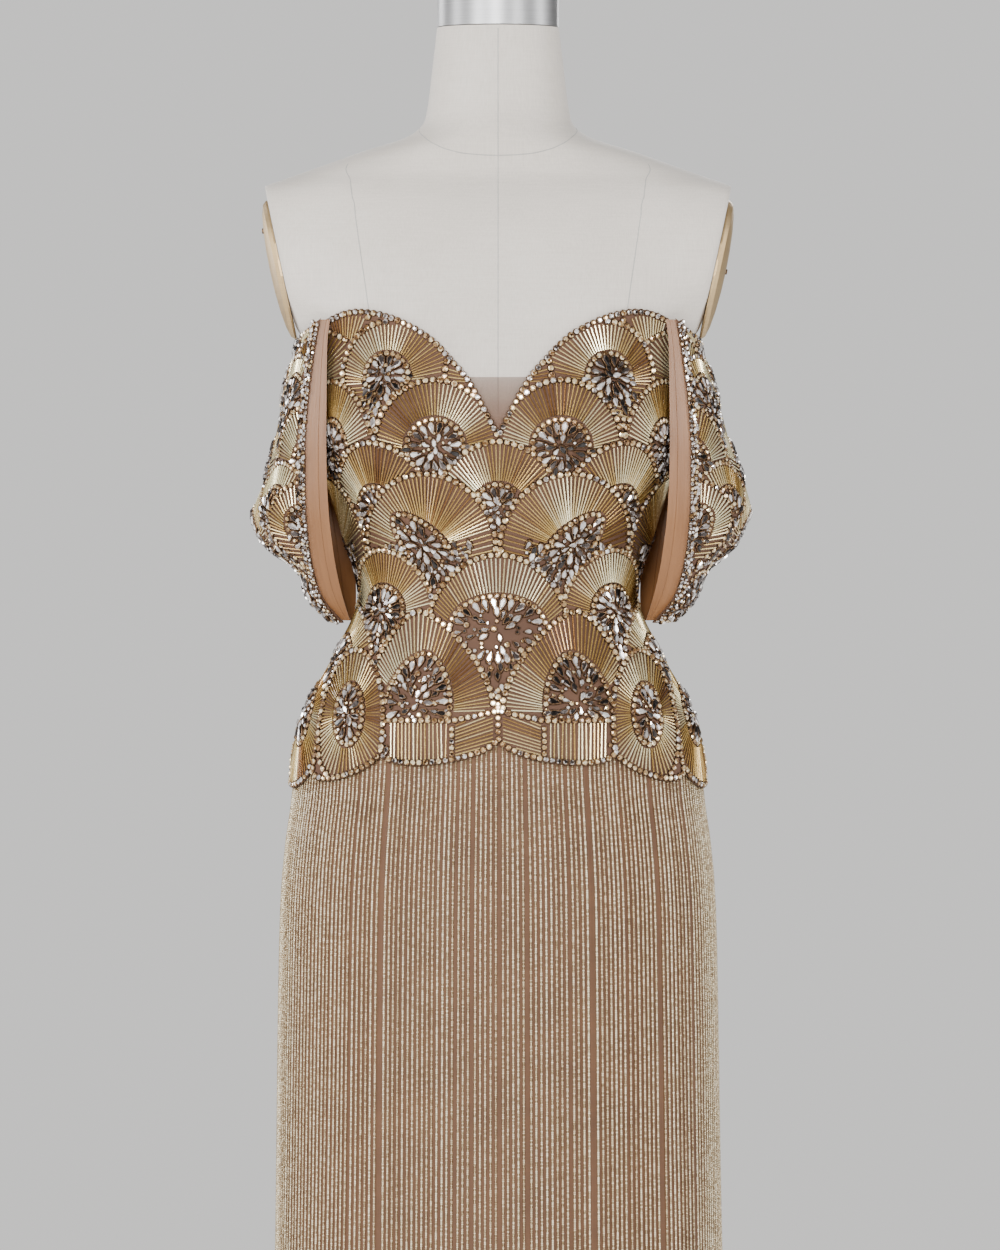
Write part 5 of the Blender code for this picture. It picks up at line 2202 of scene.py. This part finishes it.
    def edges(self, work: Work) -> None:
        """Double rows of small crystals beside the strips, and single ones above and below."""
        low, top = SLEEVE.rows[0, 0] + 2 * MM, SLEEVE.rows[-1, 0] - 3 * MM
        chance = work.chance
        for end in (-1, 1):
            for inset, pitch, smoke in ((1.9 * MM, 3.6 * MM, 0.8), (5.0 * MM, 4.2 * MM, 0.35)):
                line = []
                for height in np.linspace(low, top, 700):
                    wander = 0.35 * MM * sin(height * 900 + inset * 5000)
                    line.append((end * (self.ground.reach(height) - inset - wander), height))
                edging(work, line, pitch, smoke)
            for height in np.arange(low, top, 2.4 * MM):
                x = self.ground.reach(height) - chance.uniform(1.5, 7.5) * MM
                kind, size = chance.choice(self.edge_crystals)
                tone = chance.choice((0.1, 0.8, 1.0))
                heading = chance.uniform(-0.6, 0.6)
                work.stone(kind, (end * x, height), size, tone, heading, Glass.SMOKE, 0.9 * MM)
        reach = self.ground.reach(1.30) - 7 * MM
        line = [(x, self.high(x) - 2.2 * MM) for x in np.linspace(-reach, reach, 300)]
        edging(work, line, 4.9 * MM, 0.5)
        reach = self.ground.reach(low) - 5 * MM
        line = [(x, low + 0.4 * MM) for x in np.linspace(-reach, reach, 200)]
        edging(work, line, 4.6 * MM, 0.5)


# ------------------------ the form, the closure and the studio


@dataclass(frozen=True)
class Seam:
    """A sewn seam of the form, through places on its skin: angles in degrees, and heights."""

    points: tuple

    def run(self) -> tuple[Array, Array]:
        """The seam's angles and heights along a smooth line."""
        line = np.array(self.points, float)
        spots = np.linspace(0, len(line) - 1, 36 * (len(line) - 1))
        smooth = Profile("t angle height", [(k, *row) for k, row in enumerate(line)])
        return np.radians(smooth.at("angle", spots)), smooth.at("height", spots)


@dataclass
class DressForm:
    """The linen form with its seams, its plates, its cap and its stand."""

    seam_half: float = 0.5 * MM
    seam_rise: float = 0.30 * MM
    flat_x: float = 0.1766
    flat_height: float = 1.3710
    flat_tilt: float = radians(12.1)
    flat_edge: float = 1.4 * MM
    flat_range: tuple = (1.296, 1.446)
    levels: tuple = ((0.790, 1.220, 30), (1.222, 1.569, 110))
    columns: int = 168
    screws: tuple = ((Side.LEFT, 1.4026), (Side.RIGHT, 1.3692))
    long_seam: tuple = ((0.1050, 1.336), (0.1225, 1.4560))
    neck_seam: tuple = (
        (0, 1.4618), (0.025, 1.4632), (0.0404, 1.4665), (0.052, 1.4715), (0.060, 1.4775),
        (0.0645, 1.4830),
    )

    def build(self) -> None:
        """Makes the linen skin, the sewn seams, the screws and the turned metal parts."""
        self.skin()
        self.seams()
        for side, height in self.screws:
            self.screw(side, height)
        for node, finish, slot in (
            ("arm_plate_left", GOLD_PLATE, "gold_plate"),
            ("arm_plate_right", GOLD_PLATE, "gold_plate"),
            ("neck_cap", STEEL, "brushed_steel"),
            ("stand_pole", STEEL, "brushed_steel"),
            ("stand_base", BlackIron(), "black_iron"),
        ):
            self.turned(node, finish, slot)

    def turned(self, node: str, finish: object, slot: str) -> None:
        """Stands a smoothly shaded copy in for a solid that was turned in few steps.

        Args:
            node: the solid's name.
            finish: the copy's finish.
            slot: not used.
        """
        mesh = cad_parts[node].data.copy()
        mesh.name = f"{node}_metal"
        edit_all(mounted(mesh.name, mesh, [finish], slot, node))
        bpy.ops.mesh.remove_doubles(threshold=1e-5)
        bpy.ops.object.mode_set(mode="OBJECT")
        bpy.ops.object.shade_smooth_by_angle(angle=radians(18))
        deselect()
        LOG.info("%s: in its finish", mesh.name)

    def skin(self) -> None:
        """The linen over the body and neck, with a soft-edged flat for each arm plate."""
        heights = np.concatenate([np.linspace(*level) for level in self.levels])
        turns = np.linspace(-pi, pi, self.columns, endpoint=False)
        angle, height = np.meshgrid(turns, heights)
        points = figure(angle, height)
        near = (height > self.flat_range[0]) & (height < self.flat_range[1])
        lean, rise = cos(self.flat_tilt), sin(self.flat_tilt)
        for side in (-1, 1):
            beside, over = side * points[..., 0] - self.flat_x, points[..., 2] - self.flat_height
            past = beside * lean - over * rise
            past = np.where(near, self.flat_edge * np.logaddexp(0, past / self.flat_edge), 0)
            points[..., 0] -= side * lean * past
            points[..., 2] += rise * past
        rows, columns = angle.shape
        index = np.arange(rows * columns).reshape(rows, columns)
        after = np.roll(index, -1, axis=1)
        quads = np.stack([index[:-1], after[:-1], after[1:], index[1:]], -1).reshape(-1, 4)
        ends = [index[0, ::-1].tolist(), index[-1].tolist()]
        mesh = bpy.data.meshes.new("form_skin")
        mesh.from_pydata(points.reshape(-1, 3), [], quads.tolist() + ends)
        mesh.shade_smooth()
        mesh.set_sharp_from_angle(angle=radians(40))
        mounted("form_skin", mesh, [Linen()], "form_linen", "form_torso")
        LOG.info("form_skin: %d quads", len(quads))

    def screw(self, side: Side, height: float) -> None:
        """Sets a socket screw in an arm plate, where a level line from the side meets it.

        Args:
            side: which plate.
            height: the line's height.
        """
        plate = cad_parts[f"arm_plate_{side.word}"]
        start, inwards = Vector((side.value * 0.4, 2 * MM, height)), Vector((-side.value, 0, 0))
        _, place, normal, _ = plate.ray_cast(start, inwards)
        made = begin(
            bpy.ops.mesh.primitive_cylinder_add, vertices=18, radius=2.3 * MM, depth=1.6 * MM,
            location=place, rotation=normal.to_track_quat("Z", "Y").to_euler(),
        )
        pick(lambda middle, out: out.dot(normal) > 0.9)
        bpy.ops.mesh.inset(thickness=0.5 * MM, depth=0.35 * MM)
        bpy.ops.mesh.inset(thickness=0.7 * MM, depth=0)
        bpy.ops.mesh.inset(thickness=0.05 * MM, depth=-0.8 * MM)
        deselect()
        made.name = made.data.name = f"arm_screw_{side.word}"
        made.data.materials.append(WARDROBE.get(DarkSetting()))
        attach(made, "gown_on_form")
        LOG.info("%s: set in its plate", made.name)

    def seam_lines(self) -> list[Seam]:
        """Where the seams run."""
        made = [Seam(((0, 1.250), (0, 1.33), (0, 1.41), (0, 1.470), (0, 1.500), (0, 1.566)))]
        made.append(Seam(((180, 1.300), (180, 1.40), (180, 1.46), (180, 1.50), (180, 1.566))))
        (x, low), (far, high) = self.long_seam
        shares = np.linspace(0, 1, 9)
        shoulder = [(x + (far - x) * t, low + (high - low) * t) for t in shares]
        front = [(self.turn_at(*spot), spot[1]) for spot in shoulder]
        half = [(self.turn_at(*spot), spot[1]) for spot in self.neck_seam]
        half += [(90, 1.4870), (135, 1.486), (180, 1.484)]
        for side in (-1, 1):
            for behind in (False, True):
                made.append(Seam(tuple((side * (180 - a if behind else a), h) for a, h in front)))
        made.append(Seam(tuple([(-a, h) for a, h in reversed(half[1:])] + half)))
        return made

    def turn_at(self, x: float, height: float) -> float:
        """The angle in degrees of the skin's point at a distance beside the middle, in front."""
        turns = np.linspace(0, pi / 2, 181)
        return float(np.degrees(np.interp(x, figure(turns, np.full(181, height))[:, 0], turns)))

    def seams(self) -> None:
        """Joins all seams into one mesh of low, rounded ribs."""
        points, quads, count = [], [], 0
        for seam in self.seam_lines():
            angle, height = seam.run()
            middle = figure(angle, height)
            out = tangents(figure, angle, height)[2]
            along = normalised(np.gradient(middle, axis=0))
            side = normalised(np.cross(along, out))
            section = [(-1, -0.3), (-0.5, 0.8), (0, 1), (0.5, 0.8), (1, -0.3)]
            for x, z in section:
                points.append(middle + side * (x * self.seam_half) + out * (z * self.seam_rise))
            length = len(middle)
            for i in range(len(section)):
                k = (i + 1) % len(section)
                for j in range(length - 1):
                    a, b = count + i * length + j, count + k * length + j
                    quads.append((a, b, b + 1, a + 1))
            quads.append(tuple(count + i * length for i in reversed(range(len(section)))))
            quads.append(tuple(count + i * length + length - 1 for i in range(len(section))))
            count += length * len(section)
        mesh = bpy.data.meshes.new("form_seams")
        mesh.from_pydata(np.concatenate(points), [], quads)
        edit_all(mounted("form_seams", mesh, [SEAM_LINEN], "form_linen"))
        bpy.ops.mesh.normals_make_consistent(inside=False)
        deselect()
        LOG.info("form_seams: %d seams", len(self.seam_lines()))


@dataclass
class Closure:
    """The centre-back zip."""

    def build(self) -> None:
        """Dresses the slider and its pull tab."""
        WARDROBE.dress_node("zip_slider", ZIP_METAL)
        WARDROBE.dress_node("zip_pull", ZIP_METAL)


@dataclass(frozen=True)
class SoftBox:
    """A rectangular light: its place, what it looks at, its size and its power."""

    name: str
    place: tuple[float, float, float]
    aim: tuple[float, float, float]
    size: tuple[float, float]
    power: float


@dataclass
class Studio:
    """A plain pale floor, soft lights and the camera."""

    distance: float = 8.0
    frame_tall: float = 1.025
    centre: tuple = (0.0016, 1.0795)
    backdrop: float = 0.86
    ambient: float = 0.16
    lights: tuple = (
        SoftBox("front", (-0.35, -4.4, 1.9), (0, 0, 1.1), (1.0, 1.0), 150),
        SoftBox("key", (-2.0, -2.6, 2.3), (0, 0, 1.15), (0.5, 1.1), 80),
        SoftBox("fill", (2.1, -2.8, 1.7), (0, 0, 1.1), (0.4, 1.2), 44),
        SoftBox("left_strip", (-2.3, -0.2, 1.3), (0, 0, 1.0), (0.35, 1.8), 26),
        SoftBox("right_strip", (2.3, -0.1, 1.3), (0, 0, 1.0), (0.35, 1.8), 26),
        SoftBox("back", (0.5, 3.2, 2.3), (0, 0, 1.1), (1.4, 1.4), 60),
        SoftBox("back_left", (-2.0, 2.2, 1.7), (0, 0, 1.1), (0.5, 1.4), 26),
    )

    def build(self) -> None:
        """Sets all of it up."""
        self.floor()
        self.world()
        for box in self.lights:
            self.light(box)
        self.camera()

    def floor(self) -> None:
        """A wide pale floor."""
        made = begin(bpy.ops.mesh.primitive_plane_add, size=14, location=(0, 0, 0))
        bpy.ops.mesh.subdivide(number_cuts=3)
        deselect()
        made.name = "studio_floor"
        mix = Recipe("pale_floor", emission_color=(0.9, 0.89, 0.88), emission_strength=0.3)
        grain = mix.noise(mix.object_place(), 3, 3)
        mix.colour(grain, (0.3, (0.74, 0.73, 0.72)), (0.7, (0.80, 0.79, 0.78)))
        mix.roughness(grain, 0.75, 0.85)
        made.data.materials.append(mix.material)

    def world(self) -> None:
        """Pale all round to the eye, and a dimmer light on the object."""
        world = bpy.data.worlds.new("studio")
        bpy.context.scene.world = world
        world.use_nodes = True
        tree = world.node_tree
        background = tree.nodes["Background"]
        background.inputs["Color"].default_value = (1.0, 0.99, 0.975, 1.0)
        path = tree.nodes.new("ShaderNodeLightPath")
        spread = tree.nodes.new("ShaderNodeMapRange")
        spread.inputs["To Min"].default_value = self.ambient
        spread.inputs["To Max"].default_value = self.backdrop
        tree.links.new(path.outputs["Is Camera Ray"], spread.inputs["Value"])
        tree.links.new(spread.outputs["Result"], background.inputs["Strength"])

    def light(self, box: SoftBox) -> None:
        """Sets up one light."""
        lamp = bpy.data.lights.new(box.name, "AREA")
        lamp.shape = "RECTANGLE"
        lamp.size, lamp.size_y = box.size
        lamp.energy = box.power
        made = bpy.data.objects.new(box.name, lamp)
        made.location = box.place
        towards = Vector(box.aim) - Vector(box.place)
        made.rotation_euler = towards.to_track_quat("-Z", "Y").to_euler()
        bpy.context.scene.collection.objects.link(made)

    def camera(self) -> None:
        """A long lens, level, straight in front."""
        lens = bpy.data.cameras.new("front")
        lens.sensor_fit = "VERTICAL"
        lens.sensor_height = 36
        lens.lens = 36 * self.distance / self.frame_tall
        made = bpy.data.objects.new("front", lens)
        made.location = (self.centre[0], -self.distance, self.centre[1])
        made.rotation_euler = (pi / 2, 0, 0)
        bpy.context.scene.collection.objects.link(made)
        bpy.context.scene.camera = made


def main() -> None:
    """Builds the object and the studio."""
    logging.basicConfig(level=logging.INFO, format="%(name)s: %(message)s")
    Studio().build()
    Bodice().build()
    Skirt().build()
    for side in Side:
        Sleeve(side).build()
    DressForm().build()
    Closure().build()
    bpy.context.view_layer.update()


if __name__ == "__main__":
    main()
